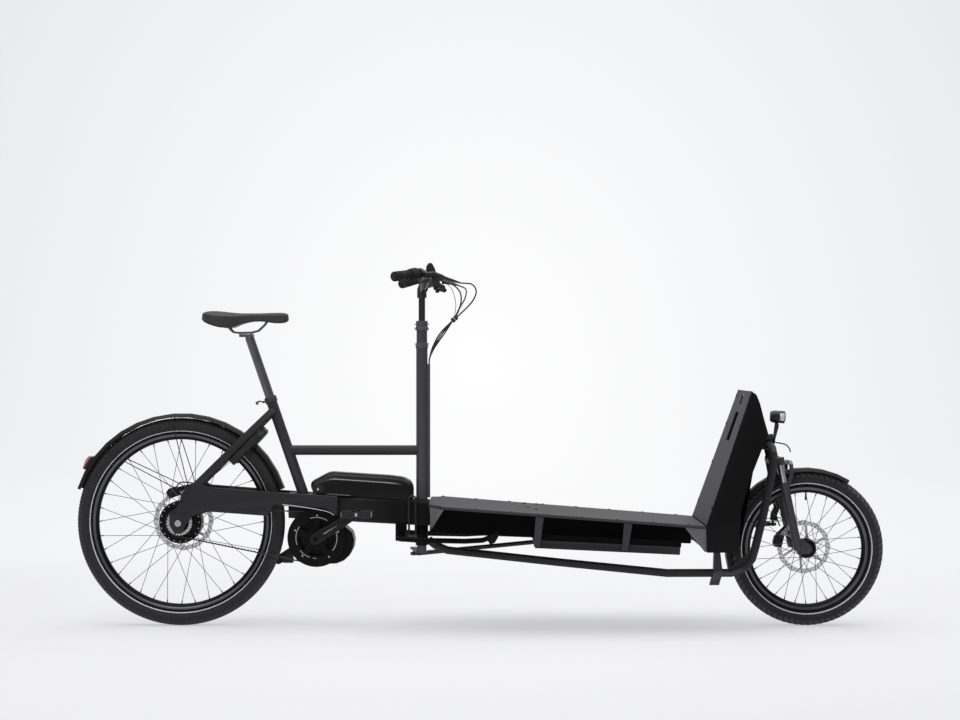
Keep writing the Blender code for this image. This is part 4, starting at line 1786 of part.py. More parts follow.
def bail_hinge():
    """Hinge of the bail, beside the foot of the beam."""
    return Vector((COLUMN_X - 30 * MM, -BEAM_FRONT_HALF_WIDTH - 10 * MM, 304 * MM))


def build():
    """Make every sub-part."""
    clear_scene()
    rear_wheel()
    front_wheel()
    rear_axle()
    drive_belt()
    front_sprocket()
    crank_arms()
    pedal("pedal_right", -1)
    pedal("pedal_left", 1)
    main_beam()
    chainstay("chainstay_right", -1)
    chainstay("chainstay_left", 1)
    upper_frame()
    seat_stays()
    bed_beam()
    bed_panel()
    bed_braces()
    bulkhead_panel()
    bulkhead_cheeks()
    head_tube()
    rail_tube()
    seatpost()
    saddle_rails()
    saddle()
    seat_lever()
    motor_housing()
    battery()
    column_steerer()
    steering_rod()
    stem_tube()
    handlebar()
    grip("grip_right", -1, SHIFTER_LENGTH + 5 * MM)
    grip("grip_left", 1, 4 * MM)
    twist_shifter()
    perch("perch_right", -1)
    perch("perch_left", 1)
    display()
    brake_lever("brake_lever_right", -1)
    brake_lever("brake_lever_left", 1)
    cockpit_hoses()
    frame_hoses()
    fork_crown()
    fork_lowers()
    rear_calliper()
    front_calliper()
    rear_mudguard()
    front_mudguard()
    rear_light()
    ring_lock()
    headlight()
    stand_legs()
    stand_bail()


build()
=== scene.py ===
"""Looks of the two-wheeled cargo bicycle: a long low load bed between the rider and a small front wheel."""
from math import cos, pi, radians, sin

import bmesh
import bpy
import numpy as np
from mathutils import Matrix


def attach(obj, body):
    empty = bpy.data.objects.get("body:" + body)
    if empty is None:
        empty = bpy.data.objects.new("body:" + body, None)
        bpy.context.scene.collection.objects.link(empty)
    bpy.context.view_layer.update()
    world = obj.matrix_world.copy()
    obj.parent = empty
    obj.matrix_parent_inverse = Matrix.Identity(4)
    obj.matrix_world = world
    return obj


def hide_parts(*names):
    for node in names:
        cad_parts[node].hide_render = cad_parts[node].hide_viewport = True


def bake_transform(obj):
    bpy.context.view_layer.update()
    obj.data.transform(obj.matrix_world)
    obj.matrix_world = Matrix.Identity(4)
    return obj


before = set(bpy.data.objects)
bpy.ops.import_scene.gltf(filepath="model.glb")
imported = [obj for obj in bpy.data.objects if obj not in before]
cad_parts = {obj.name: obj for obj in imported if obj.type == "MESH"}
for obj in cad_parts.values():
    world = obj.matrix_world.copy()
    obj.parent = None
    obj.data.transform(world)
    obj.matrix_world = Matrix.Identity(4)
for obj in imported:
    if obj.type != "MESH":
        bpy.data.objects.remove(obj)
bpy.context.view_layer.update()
MM = 0.001


# Studio: a pale seamless sweep of painted board, which runs along the floor and up behind the bicycle.
# It is lit by one large soft box overhead, a broad one in front and an even white room.

def linear(shade):
    """An sRGB hex colour as linear values, each channel by the sRGB curve."""
    channels = np.array([int(shade[i:i + 2], 16) for i in (1, 3, 5)]) / 255
    curve = np.where(channels <= 0.04045, channels / 12.92, ((channels + 0.055) / 1.055) ** 2.4)
    return (*curve.tolist(), 1.0)


def add(tree, kind, inputs=(), **settings):
    """Adds one node. Settings are its own fields, and inputs pair a socket with a value or with another
    socket."""
    made = tree.nodes.new("ShaderNode" + kind)
    for field, value in settings.items():
        setattr(made, field, value)
    for socket, value in dict(inputs).items():
        if isinstance(value, bpy.types.NodeSocket):
            tree.links.new(value, made.inputs[socket])
        else:
            made.inputs[socket].default_value = value
    return made


def finish_of(name, roughness, metallic=0.0):
    """A new material with its shader: the tree, the Principled shader and the Object coordinates."""
    made = bpy.data.materials.new(name)
    made.use_nodes = True
    tree = made.node_tree
    shader = tree.nodes["Principled BSDF"]
    shader.inputs["Roughness"].default_value = roughness
    shader.inputs["Metallic"].default_value = metallic
    return made, tree, shader, add(tree, "TexCoord").outputs["Object"]


def blended(tree, share, first, second):
    """One colour turning into another as share goes from 0 to 1. A colour is a hex value or a socket."""
    first, second = (c if isinstance(c, bpy.types.NodeSocket) else linear(c) for c in (first, second))
    return add(tree, "Mix", {"Factor": share, 6: first, 7: second}, data_type="RGBA").outputs[2]


def piece(name, surfaces, finish, body=None, crease=35, outward=True):
    """A mesh from surfaces, each an array of points and a list of faces. Coincident points are merged, faces
    turned outwards, and edges sharper than the crease angle left hard."""
    points, faces, base = [], [], 0
    for spots, corners in surfaces:
        points.append(np.asarray(spots, float))
        faces += [[base + int(i) for i in face] for face in corners]
        base += len(spots)
    mesh = bpy.data.meshes.new(name)
    mesh.from_pydata(np.concatenate(points).tolist(), [], faces)
    if outward:
        work = bmesh.new()
        work.from_mesh(mesh)
        bmesh.ops.remove_doubles(work, verts=work.verts, dist=0.002 * MM)
        bmesh.ops.recalc_face_normals(work, faces=work.faces)
        work.to_mesh(mesh)
        work.free()
    mesh.materials.append(finish)
    mesh.shade_smooth()
    mesh.set_sharp_from_angle(angle=radians(crease))
    made = bpy.data.objects.new(name, mesh)
    bpy.context.scene.collection.objects.link(made)
    if body:
        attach(made, body)
    return made


def grid(points, round_u=False, round_v=False, caps=False):
    """Faces over an array of points laid out in rows and columns. Either way round may close on itself, and
    caps close the two end rows."""
    points = np.asarray(points, float)
    rows, columns = points.shape[:2]
    index = np.arange(rows * columns).reshape(rows, columns)
    index = np.vstack([index, index[:1]]) if round_u else index
    index = np.hstack([index, index[:, :1]]) if round_v else index
    quads = np.stack([index[:-1, :-1], index[:-1, 1:], index[1:, 1:], index[1:, :-1]], -1).reshape(-1, 4)
    faces = quads.tolist()
    if caps:
        faces += [np.arange(columns).tolist(), (np.arange(columns)[::-1] + (rows - 1) * columns).tolist()]
    return points.reshape(-1, 3), faces


along = np.concatenate([np.linspace(-12, 8.6, 60), 8.6 + 2.4 * np.sin(np.linspace(0.1, pi / 2, 16)),
                        np.full(12, 11.0)])
rise = np.concatenate([np.zeros(60), 2.4 - 2.4 * np.cos(np.linspace(0.1, pi / 2, 16)),
                       np.linspace(2.6, 8, 12)])
across = np.linspace(-14, 14, 57)
sweep_points = np.stack(np.broadcast_arrays(across[None, :], along[:, None], rise[:, None]), -1)

# Matt studio board: a pale floor that fades into a white glowing wall, whose corners are slightly blue grey.
# Only camera, gloss and glass rays see the glow, so it doesn't light the bicycle. They see the floor near the
# bicycle half glowing too: painted light that halves the depth of the bicycle's shadow there.
studio_board, tree, shader, place = finish_of("painted_studio_board", 0.9)
shader.inputs["Specular IOR Level"].default_value = 0.0
middle = add(tree, "Mapping",
             {"Vector": place, "Location": (0, -0.31, -0.12), "Scale": (0.157, 0.03, 0.1357)})
glow = add(tree, "TexGradient", {"Vector": middle.outputs[0]}, gradient_type="SPHERICAL").outputs["Fac"]
tree.links.new(blended(tree, glow, "#e0e0e5", "#e5e5e9"), shader.inputs["Base Color"])
depth = add(tree, "SeparateXYZ", {"Vector": place}).outputs["Y"]
# Near the bicycle the floor is half glow for camera rays: painted light over its shadow.
wall = add(tree, "MapRange", {"Value": depth, "From Min": -0.2, "From Max": 2.7, "To Min": 0.5},
           interpolation_type="SMOOTHSTEP")
rays = add(tree, "LightPath").outputs
seen = add(tree, "Math", {0: rays["Is Camera Ray"], 1: rays["Is Glossy Ray"]}, operation="MAXIMUM").outputs[0]
seen = add(tree, "Math", {0: seen, 1: rays["Is Transmission Ray"]}, operation="MAXIMUM").outputs[0]
share = add(tree, "Math", {0: seen, 1: wall.outputs[0]}, operation="MULTIPLY").outputs[0]
shine = add(tree, "Emission", {"Color": blended(tree, glow, "#e4e5ea", "#ffffff"), "Strength": 1.0})
board = add(tree, "MixShader", {0: share, 1: shader.outputs[0], 2: shine.outputs[0]})
tree.links.new(board.outputs[0], tree.nodes["Material Output"].inputs["Surface"])
backdrop = piece("studio_sweep", [grid(sweep_points)], studio_board, outward=False)

camera = bpy.data.objects.new("side_camera", bpy.data.cameras.new("side_camera"))
camera.data.lens = 72.75
camera.data.sensor_width = 36
camera.location = (-0.0012, -6.5, 0.888)
camera.rotation_euler = (pi / 2, 0, 0)
bpy.context.scene.collection.objects.link(camera)
bpy.context.scene.camera = camera
bpy.context.scene.view_settings.view_transform = "Standard"

room = bpy.data.worlds.new("white_room")
room.use_nodes = True
# The room lights with a third of the strength that the camera sees, so its far side stays white.
tree = room.node_tree
tree.nodes["Background"].inputs["Color"].default_value = linear("#fbfbff")
tree.links.new(add(tree, "MapRange",
                   {"Value": add(tree, "LightPath").outputs["Is Camera Ray"], "To Min": 0.32}).outputs[0],
               tree.nodes["Background"].inputs["Strength"])
bpy.context.scene.world = room
for name, spot, turn, size, power in (("overhead_box", (0.0, -0.2, 3.8), (0, 0, 0), (6.5, 3.4), 164),
                                      ("front_box", (-2.0, -4.6, 3.0), (1.0, 0, -0.36), (3.0, 1.6), 45),
                                      ("rear_box", (1.8, 2.8, 3.0), (-0.75, 0, 0.4), (2.5, 1.4), 30)):
    lamp = bpy.data.lights.new(name, "AREA")
    lamp.shape = "RECTANGLE"
    lamp.size, lamp.size_y = size
    lamp.energy = power
    holder = bpy.data.objects.new(name, lamp)
    holder.location, holder.rotation_euler = spot, turn
    bpy.context.scene.collection.objects.link(holder)


# Brake hoses and control cables: 5 mm housings of black plastic over a liner, which loop forward from the
# controls, pass through one clamp and drop behind the cover strip of the column. A gloss streak shows on each
# bend.

def route(knots, count=48):
    """A smooth curve through the knots, by the Catmull-Rom blend of each four neighbours."""
    knots = np.asarray(knots, float)
    ends = np.vstack([2 * knots[0] - knots[1], knots, 2 * knots[-1] - knots[-2]])
    spot = np.linspace(0, len(knots) - 1 - 1e-9, count)
    i = spot.astype(int)
    t = (spot - i)[:, None]
    a, b, c, d = ends[i], ends[i + 1], ends[i + 2], ends[i + 3]
    return 0.5 * (2 * b + (c - a) * t + (2 * a - 5 * b + 4 * c - d) * t ** 2
                  + (3 * b - a - 3 * c + d) * t ** 3)


def ring_of(count, radius=1.0):
    """Points of a circle, one column for each side."""
    turns = np.arange(count) * 2 * pi / count
    return radius * np.stack([np.cos(turns), np.sin(turns)], -1)


def swept(path, section, up=(0, 1, 0), sizes=1.0, caps=True):
    """A section carried along a path: its first axis stays square to the path and to up, its second lies
    nearest up, and sizes makes it thinner or thicker on the way."""
    path = np.asarray(path, float)
    run = np.gradient(path, axis=0)
    run /= np.linalg.norm(run, axis=1, keepdims=True)
    side = np.cross(np.asarray(up, float), run)
    side /= np.linalg.norm(side, axis=1, keepdims=True)
    over = np.cross(run, side)
    size = np.broadcast_to(sizes, len(path))[:, None, None]
    section = np.asarray(section, float)
    return grid(path[:, None]
                + size * (section[None, :, :1] * side[:, None] + section[None, :, 1:] * over[:, None]),
                round_v=True, caps=caps)


def tube(knots, radius, sides=20, count=48, up=(0, 1, 0), sizes=1.0):
    """A round tube along the smooth curve through the knots."""
    return swept(route(knots, count), ring_of(sides, radius), up, sizes)


def straight(start, end, radius, sides=24, bevel=1 * MM):
    """A round bar between two points, with its end edges turned down by the bevel."""
    start, end = np.asarray(start, float), np.asarray(end, float)
    run = end - start
    length = np.linalg.norm(run)
    shares = np.array([0, bevel, length - bevel, length]) / length
    up = (0, 1, 0) if abs(run[1]) < 0.7 * length else (0, 0, 1)
    return swept(start + shares[:, None] * run, ring_of(sides, radius), up,
                 [1 - bevel / radius, 1, 1, 1 - bevel / radius])


def grained(name, roughness, metallic, noise, low, high=None, rough=None, bump=None, specular=None,
            mapping=None):
    """A finish from one noise. It blends the colour from low to high, and may carry the roughness between two
    values and a bump of a depth in millimetres and a strength. A mapping draws it out into lines."""
    made, tree, shader, place = finish_of(name, roughness, metallic)
    if mapping:
        place = add(tree, "Mapping", {"Vector": place, **mapping}).outputs[0]
    grain = add(tree, "TexNoise", {"Vector": place, **noise}).outputs["Fac"]
    if high:
        tree.links.new(blended(tree, grain, low, high), shader.inputs["Base Color"])
    else:
        shader.inputs["Base Color"].default_value = linear(low)
    if rough:
        tree.links.new(add(tree, "MapRange",
                           {"Value": grain, "To Min": rough[0], "To Max": rough[1]}).outputs[0],
                       shader.inputs["Roughness"])
    if bump:
        depth, strength = bump
        tree.links.new(add(tree, "Bump",
                           {"Height": grain, "Distance": depth * MM, "Strength": strength}).outputs[0],
                       shader.inputs["Normal"])
    if specular:
        shader.inputs["Specular IOR Level"].default_value = specular
    return made


# Extruded polypropylene housing: deep black, a soft gloss and a faint waviness every few millimetres.
housing = grained("extruded_polypropylene", 0.34, 0.0, {"Scale": 180, "Detail": 2.0}, "#131314",
                  bump=(0.2, 0.5))
upper_loops = (((-0.1479, -0.1386, 1.1698), (-0.108, -0.137, 1.1545), (-0.067, -0.130, 1.1415),
                (-0.0285, -0.095, 1.138),
                (-0.0138, -0.060, 1.115), (-0.0285, -0.030, 1.081), (-0.0664, -0.010, 1.0426),
                (-0.084, -0.009, 1.027)),
               ((-0.1479, 0.1386, 1.1698), (-0.115, 0.132, 1.157), (-0.075, 0.110, 1.142),
                (-0.052, 0.080, 1.131),
                (-0.0475, 0.050, 1.115), (-0.0537, 0.030, 1.091), (-0.067, 0.015, 1.0673),
                (-0.084, 0.002, 1.028)),
               ((-0.128, -0.030, 1.149), (-0.100, -0.031, 1.142), (-0.080, -0.032, 1.130),
                (-0.0655, -0.030, 1.108),
                (-0.066, -0.016, 1.074), (-0.083, -0.003, 1.034)))
clamp = straight((-0.086, -0.006, 1.026), (-0.078, -0.006, 1.033), 8.6 * MM, 20, 1.5 * MM)
upper_hoses = piece("upper_hoses",
                    [tube(line, 2.5 * MM, 14, 90, up=(0.3, 0.2, -0.93)) for line in upper_loops]
                    + [clamp], housing)
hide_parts("cockpit_hoses")
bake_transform(upper_hoses)
# The cable of the display: thin, in a pale grey sleeve.
sleeve = grained("grey_cable_sleeve", 0.5, 0.0, {"Scale": 300, "Detail": 2.0}, "#8b8b8e", "#a9a9ac")
display_cable = piece("display_cable",
                      [tube([(-0.128, -0.004, 1.150), (-0.0997, 0.002, 1.1326), (-0.0863, 0.003, 1.0977),
                             (-0.0823, 0.002, 1.0706), (-0.0853, 0.000, 1.0438), (-0.086, -0.004, 1.030)],
                            1.3 * MM, 10, 70, up=(0.3, 0.2, -0.93))], sleeve)
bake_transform(display_cable)
lower_drops = [((-0.091, s, 1.022), (-0.127 + s * 1.35, s, 0.978), (-0.1555 + s * 0.67, s * 0.95, 0.932),
                (-0.169, s * 0.9, 0.8973), (-0.172, s * 0.85, 0.8753)) for s in (-0.0052, 0.0, 0.0052)]
clamp = straight((-0.0866, -0.006, 1.0255), (-0.095, -0.006, 1.018), 8.6 * MM, 20, 1.5 * MM)
lower_hoses = piece("lower_hoses", [tube(line, 2.5 * MM, 14, 60) for line in lower_drops] + [clamp], housing)
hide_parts("frame_hoses")
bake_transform(lower_hoses)


# Tyres: black moulded rubber, 55 mm wide, on both wheels. The crown carries blocks between diagonal grooves,
# low and close at the back, deep and wide in front. A pale stripe is moulded into each sidewall above the
# rim.

def turned(profile, centre, steps=96, axis=(0, 1, 0), closed=False, caps=False):
    """A profile of radius and place along the axis, spun round that axis. A closed profile makes a ring."""
    axis = np.asarray(axis, float) / np.linalg.norm(axis)
    first = np.cross((0, 0, 1) if abs(axis[2]) < 0.9 else (1, 0, 0), axis)
    first /= np.linalg.norm(first)
    second = np.cross(axis, first)
    spin = np.arange(steps) * 2 * pi / steps
    out = np.cos(spin)[:, None] * first + np.sin(spin)[:, None] * second
    profile = np.asarray(profile, float)
    points = np.asarray(centre, float) + profile[None, :, :1] * out[:, None] + profile[None, :, 1:] * axis
    return grid(points.transpose(1, 0, 2), round_u=closed, round_v=True, caps=caps)


def tyre_surface(axle, radius, pitches, depth, slant):
    """The carcass is a round of 49 by 55 mm. Its crown stands out by the depth of a block, except where a
    groove runs: two along the tyre and one slanted across it in every pitch."""
    steps, sides = pitches * 10, 44
    turn = np.arange(steps)[:, None] * 2 * pi / steps
    lean = np.arange(sides)[None, :] * 2 * pi / sides
    reach = 27.3 * MM * np.sin(lean)
    height = 24.5 * MM * np.cos(lean)
    crown = np.clip((np.cos(lean) - 0.25) / 0.15, 0, 1)
    pitch = np.mod(np.arange(steps)[:, None] / 10 + slant * np.abs(reach) / (10 * MM) + 0.5 * (reach > 0), 1)
    block = np.clip(np.minimum(pitch, 1 - pitch) * 9 - 0.9, 0, 1)
    rib = np.clip(np.abs(np.abs(reach) - 9 * MM) / (1.2 * MM) - 0.5, 0, 1)
    lift = depth * (crown * np.minimum(block, rib) - (np.cos(lean) > 0) * 1.0)
    spread = 1 + lift / (26 * MM)
    out = radius - 24.5 * MM + height * spread
    points = np.stack([axle[0] + out * np.cos(turn), axle[1] + reach * spread + 0 * turn,
                       axle[2] + out * np.sin(turn)], -1)
    return grid(points, round_u=True, round_v=True)


def rubber_of(name, axle, stripe, worn, dust_and_sheen):
    """Tyre rubber: black in the grooves and grey on the blocks, partly dust and partly a painted sheen, with
    a fine grain and the pale stripe."""
    made, tree, shader, place = finish_of(name, 0.78)
    from_axle = add(tree, "Mapping",
                    {"Vector": place, "Location": (-axle[0], 0, -axle[2]), "Scale": (1, 0, 1)})
    radius = add(tree, "VectorMath", {"Vector": from_axle.outputs[0]}, operation="LENGTH").outputs["Value"]
    band = add(tree, "Math", {0: radius, 1: stripe, 2: 1.5 * MM}, operation="COMPARE").outputs[0]
    dust = add(tree, "TexNoise", {"Vector": place, "Scale": 35, "Detail": 4.0}).outputs["Fac"]
    grain = add(tree, "TexNoise", {"Vector": place, "Scale": 700, "Detail": 2.0}).outputs["Fac"]
    block = add(tree, "Attribute", attribute_name="block").outputs["Fac"]
    dull = blended(tree, block, blended(tree, dust, "#18181a", "#242425"), blended(tree, dust, worn, dust_and_sheen))
    tree.links.new(blended(tree, band, dull, "#d9dbdc"), shader.inputs["Base Color"])
    ribs = add(tree, "Math", {0: add(tree, "Math", {0: radius, 1: 2600.0}, operation="MULTIPLY").outputs[0]},
               operation="SINE").outputs[0]
    height = add(tree, "Math", {0: grain, 1: ribs}, operation="ADD").outputs[0]
    tree.links.new(add(tree, "Bump", {"Height": height, "Distance": 0.15 * MM, "Strength": 0.7}).outputs[0],
                   shader.inputs["Normal"])
    return made


rear_axle, front_axle = np.array((-1.001, 0, 0.347)), np.array((1.090, 0, 0.258))
# Tyre tones: the grey of the blocks, from low to high, is partly dust and partly a painted sheen.
wheels = (("rear", rear_axle, 0.347, "rear_wheel", 176, 1.1 * MM, 0.30, 0.3035, "#29292a", "#3b3b3c"),
          ("front", front_axle, 0.258, "front_wheel", 76, 2.6 * MM, 0.42, 0.2180, "#363637", "#525254"))
for end, axle, radius, body, pitches, depth, slant, stripe, worn, dust_and_sheen in wheels:
    tyre = piece(end + "_tyre_rubber", [tyre_surface(axle, radius, pitches, depth, slant)],
                 rubber_of(end + "_tyre_rubber", axle, stripe, worn, dust_and_sheen), body, crease=50)
    spots = np.zeros(len(tyre.data.vertices) * 3)
    tyre.data.vertices.foreach_get("co", spots)
    spots = spots.reshape(-1, 3) - axle
    out = np.hypot(np.hypot(spots[:, 0], spots[:, 2]) - radius + 24.5 * MM, spots[:, 1] * 24.5 / 27.3)
    outer = np.hypot(spots[:, 0], spots[:, 2]) > radius - 20 * MM
    raised = np.clip((out - 24.5 * MM + depth) / depth, 0, 1) * outer
    tyre.data.attributes.new("block", "FLOAT", "POINT").data.foreach_set("value", raised)
    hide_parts(end + "_tyre")


# Rims: double-walled black aluminium extrusions, rolled and pinned. Each has a tyre bed between two hooked
# edges, a deep inner wall for the nipples and a pale grey ring on the flank, a painted highlight.

anodised = grained("black_anodised_aluminium", 0.33, 0.75, {"Scale": 6.0, "Detail": 3.0}, "#232324",
                   rough=(0.24, 0.46), mapping={"Scale": (60, 900, 60)})
for end, axle, radius, body, *_ in wheels:
    # The rim's anodising: a grey band just inside the tyre is a painted highlight, mottled by noise.
    rim_finish, tree, shader, place = finish_of(end + "_rim_anodising_painted_highlight", 0.3, 0.75)
    from_axle = add(tree, "Mapping",
                    {"Vector": place, "Location": (-axle[0], 0, -axle[2]), "Scale": (1, 0, 1)})
    reach = add(tree, "VectorMath", {"Vector": from_axle.outputs[0]}, operation="LENGTH").outputs["Value"]
    band = add(tree, "Math", {0: reach, 1: radius - 57.5 * MM, 2: 4 * MM}, operation="COMPARE").outputs[0]
    highlight_mottle = add(tree, "TexNoise", {"Vector": place, "Scale": 9, "Detail": 2.0}).outputs["Fac"]
    tree.links.new(blended(tree, band, "#151516", blended(tree, highlight_mottle, "#48484a", "#6c6c6e")),
                   shader.inputs["Base Color"])
    edge = (radius - 49 * MM) * 1000
    profile = np.array([(0, -15), (0, -13.2), (-2.5, -12.6), (-6.5, -12.2), (-8, -9), (-11, -7.6), (-11, 7.6),
                        (-8, 9), (-6.5, 12.2), (-2.5, 12.6), (0, 13.2), (0, 15), (-6, 15), (-12, 13.4),
                        (-18, 10),
                        (-21.5, 6.5), (-23, 3), (-23, -3), (-21.5, -6.5), (-18, -10), (-12, -13.4),
                        (-6, -15)])
    rim = piece(end + "_rim_extrusion", [turned((profile + (edge, 0)) * MM, axle, 144, closed=True)],
                rim_finish,
                body, crease=28)
    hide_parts(end + "_rim")


# Spokes: black stainless wire of 2 mm, laced from the two flanges of the hub, each with a 12 mm nipple at the
# rim. The rear wheel has 36 in a narrow crossing and the front one 32 in a wide one.

spoke_steel, tree, shader, place = finish_of("blackened_stainless_wire", 0.3, 0.85)
shader.inputs["Base Color"].default_value = linear("#5a5a5c")
for end, axle, radius, body, count, hub, flange, lean in (
        ("rear", rear_axle, 0.347, "rear_wheel", 36, 71 * MM, 25 * MM, radians(35)),
        ("front", front_axle, 0.258, "front_wheel", 32, 30 * MM, 24 * MM, radians(72))):
    number = np.arange(count)
    turn = 2 * pi * number / count
    way = np.where(number % 2 == 1, 1, -1)
    side = np.where((number // 2) % 2 == 1, 1, -1)
    foot, inner, outer = turn + way * lean, hub - 1.5 * MM, radius - 71 * MM
    start = np.stack([inner * np.cos(foot), side * flange + way * 2 * MM, inner * np.sin(foot)], -1)
    finish = np.stack([outer * np.cos(turn), side * 3.2 * MM, outer * np.sin(turn)], -1)
    shares = np.array([0, 0.5, 1])[None, :, None]
    wires = axle + start[:, None] + shares * (finish - start)[:, None]
    run = (start - finish) / np.linalg.norm(finish - start, axis=1, keepdims=True)
    nipples = axle + finish[:, None] + np.array([0, 9, 12])[None, :, None] * MM * run[:, None]
    parts = [swept(wire, ring_of(6, 0.95 * MM)) for wire in wires]
    parts += [swept(sleeve, ring_of(6, 1.9 * MM), sizes=[1, 1, 0.6]) for sleeve in nipples]
    # A ring round the hub joins the feet of the spokes. Low and high are its radii, measured from the
    # flange's.
    low, high, right, left = {"rear": (-2, 0.3, -27.5, -22.5), "front": (0.3, 3.8, -5, 5)}[end]
    ring = np.array([(low, right), (high, right), (high, left), (low, left)]) * MM + (hub, 0)
    parts.append(turned(ring, axle, 72, closed=True))
    spokes = piece(end + "_spoke_wires", parts, spoke_steel, body)
    mark = {"rear": radians(12), "front": radians(90)}[end]
    way = np.array((cos(mark), 0, sin(mark)))
    stem = axle + (radius - np.array([71, 84, 85, 96, 98])[:, None] * MM) * way
    valve = swept(stem, ring_of(12, 2.6 * MM), sizes=[1, 1, 1.35, 1.35, 0.7])
    piece(end + "_valve_stem", [valve], spoke_steel, body)
    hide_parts(end + "_spokes")


# Hubs: the rear one is a drum with a gear inside, cast in aluminium and painted satin black, its cover held
# by a ring of small screws. The front one is a slim turned shell with two spoke flanges and a mount for its
# brake disc.

def screw_places(centre, reach, depth, count, first=0.0):
    """Places of screws in a circle round an axle: each is an equal turn on from the first, and all lie that
    deep to the right of the middle plane."""
    turns = first + np.arange(count) * 2 * pi / count
    return centre + np.stack([reach * np.cos(turns), turns * 0 - depth, reach * np.sin(turns)], -1)


drum_paint = grained("satin_black_drum_paint", 0.36, 0.0, {"Scale": 420, "Detail": 3.0}, "#090909",
                     bump=(0.06, 0.8), specular=0.12)
bright_screw, tree, shader, place = finish_of("zinc_plated_screw_steel", 0.28, 1.0)
shader.inputs["Base Color"].default_value = linear("#b9babd")
drum = [(0.1, -39), (30, -39), (31, -37), (40, -36), (44, -34.5), (58, -34.5), (60, -33), (67, -33),
        (70, -31),
        (71, -28), (71, 28), (70, 31), (66, 33), (52, 33.5), (40, 37), (24, 39), (23, 43), (0.1, 43)]
parts = [turned(np.array(drum) * MM, rear_axle, 96)]
parts += [straight(rear_axle + (0, near * MM, 0), rear_axle + (0, far * MM, 0), 15 * MM, 32)
          for near, far in ((-55, -38), (42, 55.5))]
rear_hub = piece("rear_gear_drum", parts, drum_paint, "rear_wheel")
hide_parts("rear_hub")
piece("drum_cover_screws", [straight(spot, spot - (0, 2.2 * MM, 0), 2.3 * MM, 10, 0.6 * MM)
                            for spot in screw_places(rear_axle, 64 * MM, 32.5 * MM, 20)], bright_screw,
      "rear_wheel")
shell = [(0.1, -50.5), (11, -50.5), (11, -44), (15.5, -42), (16, -36), (27, -34), (30, -31), (30, -26.5),
         (28, -25.5),
         (20, -22), (16.5, -16), (15, 0), (16.5, 16), (20, 22), (28, 25.5), (30, 26.5), (30, 31), (27, 34),
         (24, 36),
         (24, 42.6), (11, 43), (11, 50.5), (0.1, 50.5)]
front_hub = piece("front_hub_shell", [turned(np.array(shell) * MM, front_axle, 72)], drum_paint,
                  "front_wheel")
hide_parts("front_hub")


# Brake rotors: 2 mm discs of ground stainless steel, laser cut. The wavy braking band is drilled through in
# three rows and six swept arms carry it on the carrier, so the ring looks pale and lacy beside the black hub.

def sheet_cut(outlines, thickness, edge=0.0):
    """A flat sheet cut to closed outlines, the outer one first and its holes after it, as Blender fills
    them."""
    line = bpy.data.curves.new("cut_sheet", "CURVE")
    line.dimensions, line.fill_mode = "2D", "BOTH"
    line.extrude, line.bevel_depth = thickness / 2 - edge, edge
    for outline in outlines:
        outline = np.asarray(outline, float)
        spline = line.splines.new("POLY")
        spline.points.add(len(outline) - 1)
        spline.points.foreach_set("co", np.column_stack([outline, np.zeros(len(outline)),
                                                         np.ones(len(outline))]).ravel())
        spline.use_cyclic_u = True
    holder = bpy.data.objects.new("cut_sheet", line)
    bpy.context.scene.collection.objects.link(holder)
    bpy.context.view_layer.update()
    mesh = bpy.data.meshes.new_from_object(holder.evaluated_get(bpy.context.evaluated_depsgraph_get()))
    points = np.zeros(len(mesh.vertices) * 3)
    mesh.vertices.foreach_get("co", points)
    faces = [list(face.vertices) for face in mesh.polygons]
    bpy.data.objects.remove(holder)
    return points.reshape(-1, 3), faces


def upright(cut, centre, y):
    """A sheet stood up in the plane of the wheels: its first axis forward, its second up, at that depth."""
    points, faces = cut
    return np.stack([centre[0] + points[:, 0], y + points[:, 2], centre[2] + points[:, 1]], -1), faces


def around(radius, count, start=0.0, wave=0.0, waves=12):
    """A closed circle of points, its radius swelling and shrinking by a wave."""
    turns = start + np.arange(count) * 2 * pi / count
    reach = radius + wave * np.cos(waves * turns)
    return np.stack([reach * np.cos(turns), reach * np.sin(turns)], -1)


def holes(radius, count, size, start=0.0, sides=8):
    """Round holes of one size in a ring of that radius."""
    turns = start + np.arange(count) * 2 * pi / count
    return [around(size, sides) + (radius * cos(t), radius * sin(t)) for t in turns]


def windows(inner, outer, count, width, sweep_back, start=0.0):
    """The openings between arms: each is bounded by two arcs and by two arms of that width, swept back."""
    found = []
    for turn in start + np.arange(count) * 2 * pi / count:
        step, low, high = 2 * pi / count, width / inner, width / outer
        inside = np.linspace(turn + low / 2, turn + step - low / 2, 12)
        outside = np.linspace(turn + step - high / 2, turn + high / 2, 16) + sweep_back
        found.append(np.concatenate([np.stack([inner * np.cos(inside), inner * np.sin(inside)], -1),
                                     np.stack([outer * np.cos(outside), outer * np.sin(outside)], -1)]))
    return found


# Ground stainless steel: pale, with a fine mottle of scratches that breaks up its reflections.
rotor_steel = grained("ground_stainless_steel", 0.34, 0.55, {"Scale": 260, "Detail": 5.0, "Roughness": 0.7},
                      "#b9babd", "#dededf", rough=(0.22, 0.42))
for end, axle, reach, body in (("rear", rear_axle, 101 * MM, "rear_wheel"),
                               ("front", front_axle, 90 * MM, "front_wheel")):
    band = reach - 15 * MM
    cut = [around(reach - 1.2 * MM, 144, wave=1.2 * MM), around(15.5 * MM, 36)]
    cut += windows(24 * MM, band - 1 * MM, 6, 9 * MM, 0.42)
    for row, offset in ((3.8, 0.0), (7.5, 0.5), (11.2, 1.0)):
        cut += holes(reach - row * MM - 1 * MM, 36, 1.7 * MM, offset * pi / 36)
    rotor = piece(end + "_brake_disc", [upright(sheet_cut(cut, 1.9 * MM), axle, 44 * MM)], rotor_steel, body,
                  30)
    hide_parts(end + "_rotor")


# Belt drive: a toothed polyurethane belt on carbon cords runs from a black sprocket at the crank to a bright
# alloy one on the hub. A black guard disc with long slots stands outside the front sprocket, held by five
# screws.

